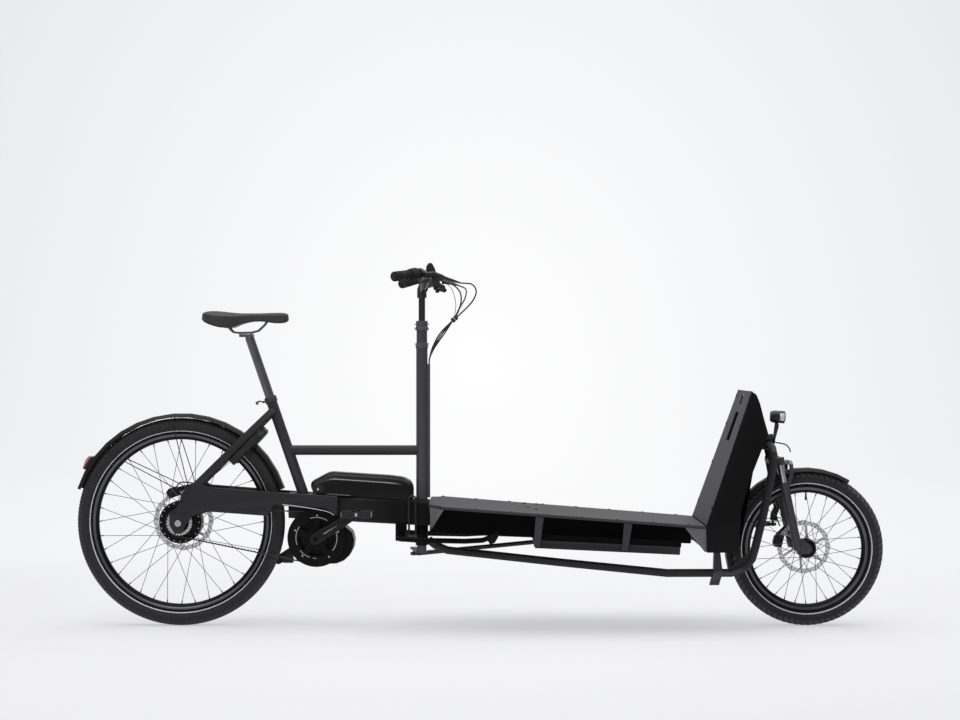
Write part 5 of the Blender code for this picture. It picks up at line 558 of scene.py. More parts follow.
def toothed(teeth, tip, depth, share=0.5):
    """The outline of a belt sprocket: a circle whose radius drops by the depth between its teeth, 12 points a
    tooth."""
    turns = np.arange(teeth * 12) * 2 * pi / (teeth * 12)
    wave = np.cos(teeth * turns)
    reach = tip - depth * np.clip((wave - share + 0.55) * 2.2, 0, 1)
    return np.stack([reach * np.cos(turns), reach * np.sin(turns)], -1)


crank_axis = np.array((-0.545, 0, 0.2965))
big, small, pitch = 87.5 * MM, 45.5 * MM, 11 * MM
run = crank_axis - rear_axle
tilt = np.arctan2(run[2], run[0])
wrap = pi / 2 + np.arcsin((big - small) / np.hypot(run[0], run[2]))
loop = np.concatenate([centre[[0, 2]] + reach * np.stack([np.cos(turns), np.sin(turns)], -1) for centre,
                       reach, turns in
                       ((crank_axis, big, np.linspace(tilt - wrap, tilt + wrap, 80)),
                        (rear_axle, small, np.linspace(tilt + wrap, tilt + 2 * pi - wrap, 50)))])
loop = np.vstack([loop, loop[:1]])
travel = np.concatenate([[0], np.cumsum(np.linalg.norm(np.diff(loop, axis=0), axis=1))])
teeth = int(round(travel[-1] / pitch))
spots = np.arange(teeth * 6) / (teeth * 6) * travel[-1]
line = np.stack([np.interp(spots, travel, loop[:, 0]), np.interp(spots, travel, loop[:, 1])], -1)
way = np.roll(line, -1, axis=0) - np.roll(line, 1, axis=0)
way /= np.linalg.norm(way, axis=1, keepdims=True)
out = np.stack([way[:, 1], -way[:, 0]], -1)
inner = 1.5 * MM + 2.2 * MM * np.array([0, 0.2, 1, 1, 0.2, 0])[np.arange(teeth * 6) % 6]
offsets = np.stack([inner * 0 + 1.5 * MM, inner * 0 + 1.5 * MM, -inner, -inner], -1)
sides = np.array([-50.0, -40, -40, -50]) * MM
belt_points = np.stack([line[:, None, 0] + offsets * out[:, None, 0], np.broadcast_to(sides, offsets.shape),
                        line[:, None, 1] + offsets * out[:, None, 1]], -1)
# Moulded polyurethane: matt black with faint cord lines along its back.
belt_skin, tree, shader, place = finish_of("moulded_polyurethane", 0.5)
cords = add(tree, "TexWave", {"Vector": place, "Scale": 700, "Distortion": 0.0}, bands_direction="Y")
tree.links.new(blended(tree, cords.outputs["Fac"], "#0f0f10", "#1b1b1c"), shader.inputs["Base Color"])
belt = piece("toothed_belt", [grid(belt_points, round_u=True, round_v=True)], belt_skin, "frame", crease=30)
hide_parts("drive_belt")

# Hard-anodised sprocket teeth are black; the hub's sprocket and the ring behind the guard are turned bright
# alloy.
bright_alloy = grained("turned_bright_aluminium", 0.3, 1.0, {"Scale": 300, "Detail": 3.0}, "#a9aaad",
                       "#d6d7d9")
cut = [toothed(50, 84.5 * MM, 3 * MM), around(12 * MM, 24)] + windows(30 * MM, 62 * MM, 5, 15 * MM, 0.0, 0.3)
black_sprocket = piece("front_belt_sprocket",
                       [upright(sheet_cut(cut, 11 * MM, 0.4 * MM), crank_axis, -45 * MM)],
                       anodised, "crank", 28)
cut = [around(95.3 * MM, 120), around(12 * MM, 24)] + windows(36 * MM, 60 * MM, 5, 20 * MM, 0.0, 0.3)
for start, end in ((2.55, 3.5), (3.78, 4.4), (4.52, 4.72), (5.6, 6.6), (1.0, 1.9)):
    arc = np.linspace(start, end, 16)
    cut.append(np.concatenate([reach * np.stack([np.cos(turns), np.sin(turns)], -1)
                               for reach, turns in ((66 * MM, arc), (70.5 * MM, arc[::-1]))]))
guard = piece("chain_guard_disc", [upright(sheet_cut(cut, 3.4 * MM, 1 * MM), crank_axis, -52.6 * MM)],
              drum_paint,
              "crank", 30)
ring = piece("bright_sprocket_ring",
             [turned(np.array([(63, -51), (73, -51), (73, -50.4), (63, -50.4)]) * MM, crank_axis,
                     96, closed=True)], bright_alloy, "crank")
piece("guard_screws", [straight(spot, spot - (0, 1.6 * MM, 0), 3.2 * MM, 14, 0.7 * MM)
                       for spot in screw_places(crank_axis, 75 * MM, 54 * MM, 5, 0.28)], bright_screw,
      "crank")
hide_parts("front_sprocket")
cut = [toothed(26, 42.5 * MM, 3 * MM), around(32 * MM, 48)] + holes(37 * MM, 13, 2 * MM)
cog = piece("rear_belt_sprocket", [upright(sheet_cut(cut, 11 * MM, 0.5 * MM), rear_axle, -45 * MM)],
            bright_alloy,
            "rear_cog", 28)
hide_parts("rear_sprocket")


# Cranks: forged aluminium arms, black anodised, pressed on a splined axle. Each has a long flute whose bright
# alloy floor is a painted highlight, and a chromed steel bolt in its boss.

def tapered(start, end, first, last):
    """The outline of an arm: half a circle round each end, joined by straight flanks."""
    run = (end - start) / np.linalg.norm(end - start)
    side = np.array((-run[1], run[0]))
    back, front = np.linspace(pi / 2, 3 * pi / 2, 20)[:, None], np.linspace(-pi / 2, pi / 2, 20)[:, None]
    return np.concatenate([start + first * (np.cos(back) * run + np.sin(back) * side),
                           end + last * (np.cos(front) * run + np.sin(front) * side)])


# Where each pedal screws in, forward and up, by side: -1 is the right and 1 the left.
pedal_eyes = {-1: np.array((-0.4048, 0.3834)), 1: np.array((-0.6852, 0.2096))}
parts, flutes, bolts = [], [], []
for side, eye in pedal_eyes.items():
    offset = eye - crank_axis[[0, 2]]
    run = offset / np.linalg.norm(offset)
    cut = [tapered(np.zeros(2), offset, 17 * MM, 12 * MM), around(5.7 * MM, 16) + offset,
           tapered(run * 33 * MM, run * 84 * MM, 3.4 * MM, 2.6 * MM)]
    parts.append(upright(sheet_cut(cut, 14 * MM, 2.2 * MM), crank_axis, side * 85 * MM))
    # The bright alloy floor of each flute: a painted highlight.
    floor = tapered(run * 32 * MM, run * 85 * MM, 4.4 * MM, 3.6 * MM)
    flutes.append(upright(sheet_cut([floor], 9 * MM, 0.4 * MM), crank_axis, side * 85 * MM))
    bolts.append(straight(crank_axis + (0, side * 90 * MM, 0), crank_axis + (0, side * 93.2 * MM, 0), 9 * MM,
                          28, 1.4 * MM))
parts.append(straight(crank_axis - (0, 90 * MM, 0), crank_axis + (0, 90 * MM, 0), 11.5 * MM, 32))
arms = piece("forged_crank_arms", parts, anodised, "crank", 30)
piece("flute_painted_highlights", flutes, bright_alloy, "crank", 30)
piece("crank_bolts", bolts, drum_paint, "crank", 30)
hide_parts("crank_arms")


# Pedals: moulded nylon platforms on steel spindles, with a cage of ribs and a pale reflector at each end. A
# bright cap closes the bearing at the outer end.

# Moulded nylon: black, satin, with the fine eroded grain of its mould, drawn at 1.5 mm so that it shows.
nylon, tree, shader, place = finish_of("moulded_black_nylon", 0.42)
shader.inputs["Specular IOR Level"].default_value = 0.4
eroded = add(tree, "TexNoise", {"Vector": place, "Scale": 650, "Detail": 3.0}).outputs["Fac"]
cloud = add(tree, "TexNoise", {"Vector": place, "Scale": 14, "Detail": 2.0}).outputs["Fac"]
tree.links.new(blended(tree, cloud, "#121213", "#1a1a1b"), shader.inputs["Base Color"])
tree.links.new(add(tree, "MapRange", {"Value": eroded, "To Min": 0.34, "To Max": 0.5}).outputs[0],
               shader.inputs["Roughness"])
tree.links.new(add(tree, "Bump", {"Height": eroded, "Distance": 0.1 * MM, "Strength": 0.6}).outputs[0],
               shader.inputs["Normal"])
# Reflector: clear plastic over a field of small prisms, so it is pale and glitters in cells of 2 mm.
prisms, tree, shader, place = finish_of("moulded_prism_reflector", 0.15)
shader.inputs["Coat Weight"].default_value = 1.0
cells = add(tree, "TexVoronoi", {"Vector": place, "Scale": 480}).outputs["Color"]
hue = add(tree, "SeparateXYZ", {"Vector": cells}).outputs["X"]
tree.links.new(blended(tree, hue, "#b9bcc0", "#f4f5f6"), shader.inputs["Base Color"])


def smoothed(node, name, body, finish, bevel=0.0, crease=38):
    """A merged copy of a CAD node stands for it: flat faces made whole, round faces shaded smooth, and edges
    sharper than the crease angle turned down by the bevel."""
    work = bmesh.new()
    work.from_mesh(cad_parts[node].data)
    bmesh.ops.remove_doubles(work, verts=work.verts, dist=0.01 * MM)
    bmesh.ops.dissolve_limit(work, angle_limit=radians(0.6), verts=work.verts, edges=work.edges)
    if bevel:
        hard = [edge for edge in work.edges if edge.is_manifold and edge.calc_face_angle(0) > radians(crease)]
        bmesh.ops.bevel(work, geom=hard, offset=bevel, offset_type="OFFSET", segments=2, profile=0.6,
                        affect="EDGES", clamp_overlap=False)
    mesh = bpy.data.meshes.new(name)
    work.to_mesh(mesh)
    work.free()
    mesh.materials.clear()
    mesh.materials.append(finish)
    mesh.shade_smooth()
    mesh.set_sharp_from_angle(angle=radians(crease + 4))
    made = bpy.data.objects.new(name, mesh)
    bpy.context.scene.collection.objects.link(made)
    made.modifiers.new("flat_faces_stay_flat", "WEIGHTED_NORMAL").keep_sharp = True
    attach(made, body)
    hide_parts(node)
    return made


def refinish(made, finish, chosen):
    """A second finish for the faces whose centres pass the test."""
    made.data.materials.append(finish)
    centres = np.zeros(len(made.data.polygons) * 3)
    made.data.polygons.foreach_get("center", centres)
    made.data.polygons.foreach_set("material_index", chosen(centres.reshape(-1, 3)).astype(int))


for hand, side in (("right", -1), ("left", 1)):
    smoothed("pedal_" + hand, hand + "_pedal_cage", hand + "_pedal", nylon, 1.2 * MM)
    x, z = pedal_eyes[side]
    marks = []
    for end in (-1, 1):
        tile = np.array([(-7, -36), (7, -36), (7, 36), (-7, 36)]) * MM
        points, faces = sheet_cut([tile], 2.4 * MM, 0.6 * MM)
        marks.append((np.stack([x + end * 48.6 * MM + points[:, 2], side * 143 * MM + points[:, 1],
                                z + points[:, 0]], -1), faces))
    piece(hand + "_pedal_reflectors", marks, prisms, hand + "_pedal", 30)
    piece(hand + "_pedal_cap",
          [straight((x, side * 188 * MM, z), (x, side * 191.5 * MM, z), 5 * MM, 20, 1.2 * MM)],
          bright_screw, hand + "_pedal")


# Main frame: a beam of welded aluminium box, with plate chainstays, an upper frame of tubes and the seat
# stays. It is powder coated a matt black that reads as dark grey where it faces the light.

# Powder coat: fine orange peel of about 1 mm, drawn at 2 mm so that it shows, and corners rubbed a shade
# paler.
def coat(name, low, high, corner, gloss, fade=None):
    """Powder coat between two shades, cloudy over 150 mm, with paler corners. A fade gives two places along
    the
    bicycle: up to the first it has the tone of the stay plates, beyond the second its own, a painted shade."""
    made, tree, shader, place = finish_of(name, 0.5)
    shader.inputs["Specular IOR Level"].default_value = gloss
    peel = add(tree, "TexNoise", {"Vector": place, "Scale": 520, "Detail": 2.0}).outputs["Fac"]
    cloud = add(tree, "TexNoise", {"Vector": place, "Scale": 6, "Detail": 3.0}).outputs["Fac"]
    worn = add(tree, "MapRange", {"Value": add(tree, "NewGeometry").outputs["Pointiness"], "From Min": 0.52,
                                  "From Max": 0.62}).outputs[0]
    tone = blended(tree, cloud, low, high)
    if fade:
        ahead = add(tree, "SeparateXYZ", {"Vector": place}).outputs["X"]
        share = add(tree, "MapRange", {"Value": ahead, "From Min": fade[0], "From Max": fade[1]},
                    interpolation_type="SMOOTHSTEP").outputs[0]
        tone = blended(tree, share, "#262627", tone)
        tree.links.new(add(tree, "MapRange", {"Value": share, "To Min": 0.24, "To Max": gloss}).outputs[0],
                       shader.inputs["Specular IOR Level"])
    tree.links.new(blended(tree, worn, tone, corner), shader.inputs["Base Color"])
    tree.links.new(add(tree, "MapRange", {"Value": peel, "To Min": 0.42, "To Max": 0.6}).outputs[0],
                   shader.inputs["Roughness"])
    tree.links.new(add(tree, "Bump", {"Height": peel, "Distance": 0.12 * MM, "Strength": 0.6}).outputs[0],
                   shader.inputs["Normal"])
    return made


# The powder coat comes in copies of different tone for painted light and shade: dark copies for the beam, the
# bed's box, the cheeks, the lips and the stand in shade, paler ones for the tubes and, palest, the column.
powder_coat = coat("matt_powder_coat", "#222223", "#29292a", "#4a4a4b", 0.24)
painted_shade_coat = coat("matt_powder_coat_painted_shade", "#070708", "#0c0c0d", "#262627", 0.06)
painted_shade_beam_coat = coat("matt_powder_coat_painted_shade_along_beam", "#070708", "#0c0c0d", "#2a2a2b", 0.08, (-0.46, -0.27))
painted_light_tube_coat = coat("matt_powder_coat_painted_light_on_tubes", "#2a2a2c", "#323234", "#525256", 0.3)
painted_light_column_coat = coat("matt_powder_coat_painted_light_on_column", "#38383a", "#424244", "#626264", 0.38)
for node, name, bevel in (("main_beam", "box_beam", 2), ("chainstay_right", "right_stay_plate", 1.4),
                          ("chainstay_left", "left_stay_plate", 1.4), ("upper_frame", "upper_tubes", 0.8),
                          ("seat_stays", "seat_stay_tubes", 0.6), ("head_tube", "front_head_tube", 0.8),
                          ("rail_tube", "lower_rail", 0.6), ("stand_legs", "double_stand", 0.8),
                          ("stand_bail", "stand_loop", 0.6), ("bed_braces", "bed_struts", 0.6)):
    body = {"stand_legs": "stand", "stand_bail": "bail"}.get(node, "frame")
    shade = {"upper_frame": painted_light_tube_coat, "main_beam": painted_shade_beam_coat, "stand_legs": painted_shade_coat}
    made = smoothed(node, name, body, shade.get(node, powder_coat), bevel * MM)
    # The column's part of the upper tubes takes the painted-light copy.
    if node == "upper_frame":
        refinish(made, painted_light_column_coat, lambda spots: spots[:, 0] > -0.235)
smoothed("rear_axle", "rear_axle_nuts", "frame", bright_screw, 0.8 * MM)
# A bright alloy strip along the lower edge of the right stay plate, over the motor: a painted highlight.
lip = [(-0.655, 0.4085), (-0.6245, 0.4055), (-0.57, 0.398), (-0.53, 0.391), (-0.503, 0.384), (-0.484, 0.3735)]
piece("stay_plate_painted_highlight", [tube([(x, -0.0742, z) for x, z in lip], 1.5 * MM, 12, 60)], bright_alloy, "frame")


# Motor: a cast magnesium housing hung under the beam, sprayed satin black, with a round cover and its screws.

smoothed("motor_housing", "mid_motor_casting", "frame", drum_paint, 2.2 * MM)
piece("motor_screws", [straight(spot, spot - (0, 3.4 * MM, 0), 3.4 * MM, 14, 0.8 * MM)
                       for spot in screw_places(crank_axis, 78 * MM, 34 * MM, 7, 0.4)], bright_screw, "frame")


# Battery: two ABS shells, glossy black, with a pale strip under the crown and a thin one along the foot, both
# painted highlights, and a key lock at the rear. It slides off the rail on the beam.

def shell_of(outline, depths, insets, middle):
    """An outline in the plane of the wheels carried across the width. Where the inset grows, the height above
    the foot line is scaled down by inset / 77 mm, and the length about the middle by 0.45 * inset / 172
    mm."""
    outline = np.asarray(outline, float)
    foot = 0.4425 - (outline[:, 0] + 0.553) * 0.066
    inset = np.asarray(insets)[:, None]
    x = middle + (outline[:, 0] - middle) * (1 - 0.45 * inset / 0.172)
    z = foot + (outline[:, 1] - foot) * (1 - inset / 0.077)
    return grid(np.stack([x, np.broadcast_to(np.asarray(depths)[:, None], x.shape), z], -1), round_v=True,
                caps=True)


corners = np.array([(-0.553, 0.4425), (-0.224, 0.4205), (-0.2222, 0.4405), (-0.2225, 0.468),
                    (-0.2320, 0.4860),
                    (-0.2560, 0.4975), (-0.300, 0.5035), (-0.36, 0.5072), (-0.42, 0.511), (-0.4955, 0.5160),
                    (-0.5085, 0.5130), (-0.5648, 0.4830), (-0.5668, 0.4770), (-0.5660, 0.4610),
                    (-0.560, 0.4510)])
closed = np.vstack([corners, corners[:1]])
travel = np.concatenate([[0], np.cumsum(np.linalg.norm(np.diff(closed, axis=0), axis=1))])
spots = np.linspace(0, travel[-1], 161)[:-1]
outline = np.stack([np.interp(spots, travel, closed[:, 0]), np.interp(spots, travel, closed[:, 1])], -1)
for _ in range(3):
    outline = 0.25 * np.roll(outline, 1, axis=0) + 0.5 * outline + 0.25 * np.roll(outline, -1, axis=0)
half = np.array([45, 44.6, 43.6, 42.6, 42.4, 41.9, 36, 28, 14])
draw = np.array([26, 24, 21.5, 19, 17, 14.5, 6.5, 2.0, 0.3])
depths = np.concatenate([-half, half[::-1]]) * MM
insets = np.concatenate([draw, draw[::-1]]) * MM
# Glossy ABS: near black, a clear reflection broken by faint handling marks.
abs_gloss = grained("glossy_moulded_abs", 0.24, 0.0, {"Scale": 22, "Detail": 4.0, "Distortion": 0.6},
                    "#060607", "#0b0b0c", rough=(0.2, 0.38), specular=0.27)
case = piece("battery_shells", [shell_of(outline, depths, insets, -0.395)], abs_gloss, "battery_case", 30)
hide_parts("battery")
# Grey edge strips of the shells: painted highlights where the edges would catch the light.
painted_highlight_edge = grained("abs_edge_painted_highlight", 0.2, 0.0, {"Scale": 40, "Detail": 3.0}, "#7c7c7f", "#a4a4a7")
top = shell_of(outline, depths, insets, -0.395)[0].reshape(len(depths), -1, 3)[1]
top = top[(top[:, 2] > 0.470 - (top[:, 0] + 0.49) * 0.065) & (top[:, 0] > -0.512) & (top[:, 0] < -0.257)]
edge = top[np.argsort(top[:, 0])]
swell = np.clip(np.minimum(np.arange(60), 59 - np.arange(60)) / 6, 0.15, 1)
strips = [tube(edge[::3] * (1, -side, 1), 1.9 * MM, 12, 60, sizes=swell) for side in (-1, 1)]
# The thin strips along the foot are painted highlights too.
foot = [(-0.515, 0.4424), (-0.49, 0.4408), (-0.46, 0.4389), (-0.43, 0.4370)]
strips += [tube([(x, side * 0.0449, z) for x, z in foot], 0.9 * MM, 10, 60, sizes=swell) for side in (-1, 1)]
seam = piece("battery_painted_highlight_strips", strips, painted_highlight_edge, "battery_case", 30)
tag = [(-0.560, 0.4665), (-0.556, 0.4440), (-0.5225, 0.4440), (-0.5225, 0.4700), (-0.545, 0.4745)]
points, faces = sheet_cut([np.array(tag)], 2.4 * MM, 0.6 * MM)
plate = (np.stack([points[:, 0], -0.0442 + points[:, 2], points[:, 1]], -1), faces)
piece("battery_lock_plate",
      [plate, straight((-0.5405, -0.0450, 0.4570), (-0.5405, -0.0464, 0.4570), 7.5 * MM, 28, 0.8 * MM)],
      nylon, "battery_case", 30)
piece("battery_key_barrel",
      [straight((-0.5405, -0.0460, 0.4570), (-0.5405, -0.0476, 0.4570), 4.2 * MM, 24, 0.6 * MM)],
      bright_screw, "battery_case", 30)


# Load bed: an aluminium floor with a gripping coat on a welded beam, and a sloping bulkhead with two cheeks.
# Domed screws hold the floor along both edges.

# Gripping coat: dark grey paint with sand in it, speckled at 3 mm, that scatters light and so looks paler
# than paint.
grip_coat, tree, shader, place = finish_of("sanded_deck_coat", 0.66)
shader.inputs["Specular IOR Level"].default_value = 0.36
speckle = add(tree, "TexVoronoi", {"Vector": place, "Scale": 330}).outputs["Distance"]
cloud = add(tree, "TexNoise", {"Vector": place, "Scale": 5, "Detail": 4.0}).outputs["Fac"]
tone = blended(tree, cloud, "#232324", "#2e2e2f")
tree.links.new(blended(tree, add(tree, "MapRange",
                                 {"Value": speckle, "From Max": 0.5, "To Max": 0.5}).outputs[0], tone,
                       "#424245"), shader.inputs["Base Color"])
tree.links.new(add(tree, "Bump", {"Height": speckle, "Distance": 0.3 * MM, "Strength": 0.6}).outputs[0],
               shader.inputs["Normal"])
smoothed("bed_panel", "bed_floor", "frame", grip_coat, 1 * MM)
# The bed's beam takes the painted-shade copy; its rear, outer faces take a much paler painted-light copy.
beam = smoothed("bed_beam", "bed_box_beam", "frame", painted_shade_coat, 1.2 * MM)
painted_light_coat = coat("matt_powder_coat_painted_light_on_bed", "#5a5a5c", "#68686a", "#78787a", 0.4)
refinish(beam, painted_light_coat, lambda spots: (spots[:, 0] < -0.09) & (np.abs(spots[:, 1]) > 0.09))
smoothed("bulkhead_panel", "bulkhead_sheet", "frame", grip_coat, 0.8 * MM)
# The cheeks take the painted-shade copy, and their lower front the painted-light copy.
cheeks = smoothed("bulkhead_cheeks", "bulkhead_sides", "frame", painted_shade_coat, 1 * MM)
refinish(cheeks, painted_light_coat, lambda spots: (spots[:, 0] < 0.728) & (spots[:, 2] < 0.345))
lip = np.array([(0.181, 0.298), (0.656, 0.2757), (0.657, 0.2947), (0.182, 0.317)])
piece("strip_lips",
      [upright(sheet_cut([lip], 3 * MM, 0.5 * MM), (0, 0, 0), side * 0.1565) for side in (-1, 1)],
      painted_shade_coat, "frame", 30)
# The floor's rear edge lies at this place and height, with this half width, and it falls and narrows forward.
floor_rear, floor_top, floor_half = -0.169, 0.418, 0.2465
floor_fall, floor_taper, screw_inset = 0.07642, 0.0378, 12 * MM


def on_floor(x, y):
    """A place on the floor's upper face: its height is that of the rear edge, less the fall times the way
    forward."""
    return np.array((x, y, floor_top - (x - floor_rear) * floor_fall))


spots = [on_floor(x, side * (floor_half - (x - floor_rear) * floor_taper - screw_inset))
         for x in np.arange(-0.13, 0.70, 0.115) for side in (-1, 1)]
piece("bed_screws", [straight(spot - (0, 0, 1 * MM), spot + (0, 0, 2.2 * MM), 5.5 * MM, 16, 1.5 * MM)
                     for spot in spots], anodised, "frame")
spots = [on_floor(x, y) for x, y in ((0.150, 0.195), (0.192, 0.195), (0.158, 0.030), (0.184, -0.045))]
piece("deck_plugs", [straight(spot - (0, 0, 1 * MM), spot + (0, 0, 3 * MM), 9 * MM, 24, 1.5 * MM)
                     for spot in spots], nylon, "frame")
panel_foot, panel_up = np.array((0.733, 0, 0.35122)), np.array((0.33051, 0, 0.94380))
spots = [panel_foot + share * panel_up + (0, side * (0.1955 - share * 0.1), 0)
         for share in (0.06, 0.20, 0.34, 0.44) for side in (-1, 1)]
piece("bulkhead_screws", [straight(spot, spot + (-2.4 * MM, 0, 0.85 * MM), 5 * MM, 16, 1.4 * MM)
                          for spot in spots], anodised, "frame")


# Steering column and cockpit: an aluminium steerer in a long tube, a telescopic stem with two clamps, a
# raised bar, moulded controls and a small display.

# Satin anodised tube: black, with a soft streak down its length.
satin_tube = grained("satin_black_anodising", 0.34, 0.6, {"Scale": 1.0, "Detail": 3.0}, "#2b2b2c", "#3a3a3b",
                     rough=(0.28, 0.42), mapping={"Scale": (900, 900, 30)})
# The column takes the painted-light copy of the powder coat.
smoothed("column_steerer", "steering_column", "column", painted_light_column_coat, 0.8 * MM)
smoothed("stem_tube", "telescopic_stem", "cockpit", satin_tube, 0.8 * MM)
smoothed("handlebar", "raised_bar", "cockpit", satin_tube, 0.5 * MM)
smoothed("perch_right", "right_lever_perch", "cockpit", nylon, 1 * MM)
smoothed("perch_left", "left_lever_perch", "cockpit", nylon, 1 * MM)
smoothed("brake_lever_right", "right_lever_blade", "right_lever", satin_tube, 1 * MM)
smoothed("brake_lever_left", "left_lever_blade", "left_lever", satin_tube, 1 * MM)
smoothed("display", "display_case", "cockpit", nylon, 1.6 * MM)
smoothed("steering_rod", "steering_drag_link", "rod", satin_tube, 0.6 * MM)

# Grip rubber: soft, matt, with rings moulded every 4 mm and a flange at the inner end.
grip_rubber = grained("soft_grip_rubber", 0.72, 0.0, {"Scale": 500, "Detail": 3.0}, "#161617", "#222223",
                      bump=(0.2, 0.6), specular=0.25)
for hand, side, first in (("right", -1, 51.0), ("left", 1, 4.6)):
    start = np.array((-0.208, side * 0.188, 1.168))
    axis = np.array((-0.278, side * 0.307, 1.154)) - start
    axis /= np.linalg.norm(axis)
    places = np.arange(first + 5, 128, 0.5)
    ribs = 15.4 + 0.55 * np.clip(np.cos(places * 2 * pi / 4) * 2.5, -1, 1) + 0.35 * np.cos((places - 96) / 24)
    ribs = np.where((places > 84) & (places < 100), 16.0, ribs)
    profile = [(11.2, first), (16.3, first), (16.3, first + 3), (15.2, first + 4.5)]
    profile += np.stack([ribs, places], -1).tolist()
    profile += [(16.2, 128.4), (16.2, 131), (14.6, 133.4), (9, 134.1), (0.1, 134.1)]
    grip = piece("ribbed_grip_" + hand, [turned(np.array(profile) * MM, start, 48, axis)], grip_rubber,
                 "cockpit", 40)
    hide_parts("grip_" + hand)
    if hand == "right":
        around_axis = np.array([(12.2, 4), (18.6, 4), (20.6, 5.6), (20.9, 9), (20.9, 17.5), (20.2, 19),
                                (20.2, 21),
                                (20.4, 22)]
                               + [(20.4 - 0.5 * (n % 2) - 0.12 * n, 23 + n * 1.25) for n in range(16)]
                               + [(18.2, 43.6), (12.2, 43.8)]) * MM
        shifter = piece("twist_shifter_body", [turned(around_axis, start, 48, axis)], grip_rubber, "shifter",
                        40)
        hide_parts("twist_shifter")
# Brake levers hold a master cylinder each: a nylon body in front of the perch, with a cap on its reservoir.
for hand, side in (("right", -1), ("left", 1)):
    body_line = [(-0.176, side * 0.141, 1.156), (-0.160, side * 0.140, 1.146), (-0.138, side * 0.137, 1.133),
                 (-0.116, side * 0.134, 1.124)]
    cylinder = tube(body_line, 9.5 * MM, 20, 40,
                    sizes=np.interp(np.linspace(0, 1, 40), [0, 0.08, 0.7, 0.94, 1],
                                                                  [0.55, 0.9, 1, 0.8, 0.45]))
    neck = straight((-0.150, side * 0.139, 1.165), (-0.140, side * 0.138, 1.138), 8 * MM, 20, 1.5 * MM)
    cap = straight((-0.152, side * 0.1395, 1.148), (-0.146, side * 0.1390, 1.118), 7 * MM, 20, 2 * MM)
    piece("master_cylinder_" + hand, [cylinder, neck, cap], nylon, "cockpit", 40)


# Saddle: polyurethane foam on a nylon shell under a sewn cover, on two bent steel rails. The post is anodised
# grey.

stations = np.array([(-143, 18, 62, 50), (-140, 46, 66, 44), (-128, 66, 71, 34), (-104, 77, 73, 24),
                     (-74, 76, 71, 17), (-44, 58, 68, 18), (-14, 38, 66, 29), (20, 27, 66, 37),
                     (56, 22, 66, 38),
                     (92, 20, 67, 33), (122, 18, 67, 33), (138, 13, 64, 38), (143, 5, 58, 47)], float) * MM
rings = route(stations, 110)
turns = np.arange(72) * 2 * pi / 72
c, s = np.cos(turns)[None, :], np.sin(turns)[None, :]
x, half, crown, skirt = (rings[:, n:n + 1] for n in range(4))
edge = crown - 0.42 * (crown - skirt)
upper = edge + (crown - edge) * np.clip(s, 0, 1) ** 0.75
lower = edge + (skirt - edge) * np.clip(-s / 0.32, 0, 1) ** 0.8 + 3.5 * MM * np.clip(-s, 0, 1) ** 4
reach = half * np.sign(c) * np.abs(c) ** 0.8 * np.where(s < 0, 0.97, 1)
dip = 2.4 * MM * np.exp(-(reach / (9 * MM)) ** 2) * (s > 0) * np.exp(-((x + 0.04) / (70 * MM)) ** 2)
# Place of the saddle's middle along the bicycle, and the height that its stations are measured from.
saddle_x, saddle_z = -0.7856, 0.9790
seat_points = np.stack([np.broadcast_to(x, reach.shape) + saddle_x, reach,
                        saddle_z + np.where(s > 0, upper, lower) - dip], -1)
# Sewn synthetic leather: dark grey with a pebbled grain, drawn at 2 mm so that it shows, and a satin sheen.
cover, tree, shader, place = finish_of("grained_synthetic_leather", 0.5)
grain = add(tree, "TexVoronoi", {"Vector": place, "Scale": 520}, feature="SMOOTH_F1").outputs["Distance"]
patch = add(tree, "TexNoise", {"Vector": place, "Scale": 18, "Detail": 3.0}).outputs["Fac"]
tree.links.new(blended(tree, patch, "#242424", "#353534"), shader.inputs["Base Color"])
tree.links.new(add(tree, "Bump", {"Height": grain, "Distance": 0.25 * MM, "Strength": 0.7}).outputs[0],
               shader.inputs["Normal"])
pad = piece("saddle_pad", [grid(seat_points, round_v=True, caps=True)], cover, "seat", 60)
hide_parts("saddle")
low_edge = np.stack([x[:, 0] + saddle_x, half[:, 0] * 0.955, saddle_z + skirt[:, 0] + 1.2 * MM], -1)
welt = [swept(low_edge[2:-2] * (1, side, 1), ring_of(8, 1.6 * MM), up=(0, 0, 1)) for side in (-1, 1)]
piece("saddle_welt", welt, nylon, "seat")
smoothed("saddle_rails", "saddle_rail_wires", "seat", spoke_steel)
# Grey anodised post: drawn aluminium with fine lines down it, so it carries one long bright streak.
post_metal = grained("grey_anodised_aluminium", 0.3, 0.9, {"Scale": 1.0, "Detail": 3.0}, "#56565a", "#757579",
                     rough=(0.24, 0.4), mapping={"Rotation": (0, 0.332, 0), "Scale": (700, 700, 20)})
smoothed("seatpost", "seat_post", "seat", post_metal, 0.6 * MM)
smoothed("seat_lever", "post_clamp_lever", "clamp_lever", anodised, 0.8 * MM)


# Front fork: a short suspension fork. Black crown and lower legs slide on bright steel stanchions, whose
# polish shows as a narrow white streak.

stanchion = grained("hard_chromed_stanchion", 0.16, 1.0, {"Scale": 60, "Detail": 3.0}, "#a5a6a9", "#cfd0d2",
                    rough=(0.12, 0.24))
crown = smoothed("fork_crown", "fork_crown_and_stanchions", "fork", powder_coat, 0.8 * MM)
fork_up, leg_foot = np.array((-0.20791, 0, 0.97815)), np.array((0.9864, 0, 0.5776))
refinish(crown, stanchion, lambda spots: (np.abs(np.abs(spots[:, 1]) - 0.066) < 0.0135)
         & ((spots - leg_foot) @ fork_up < -0.0405))
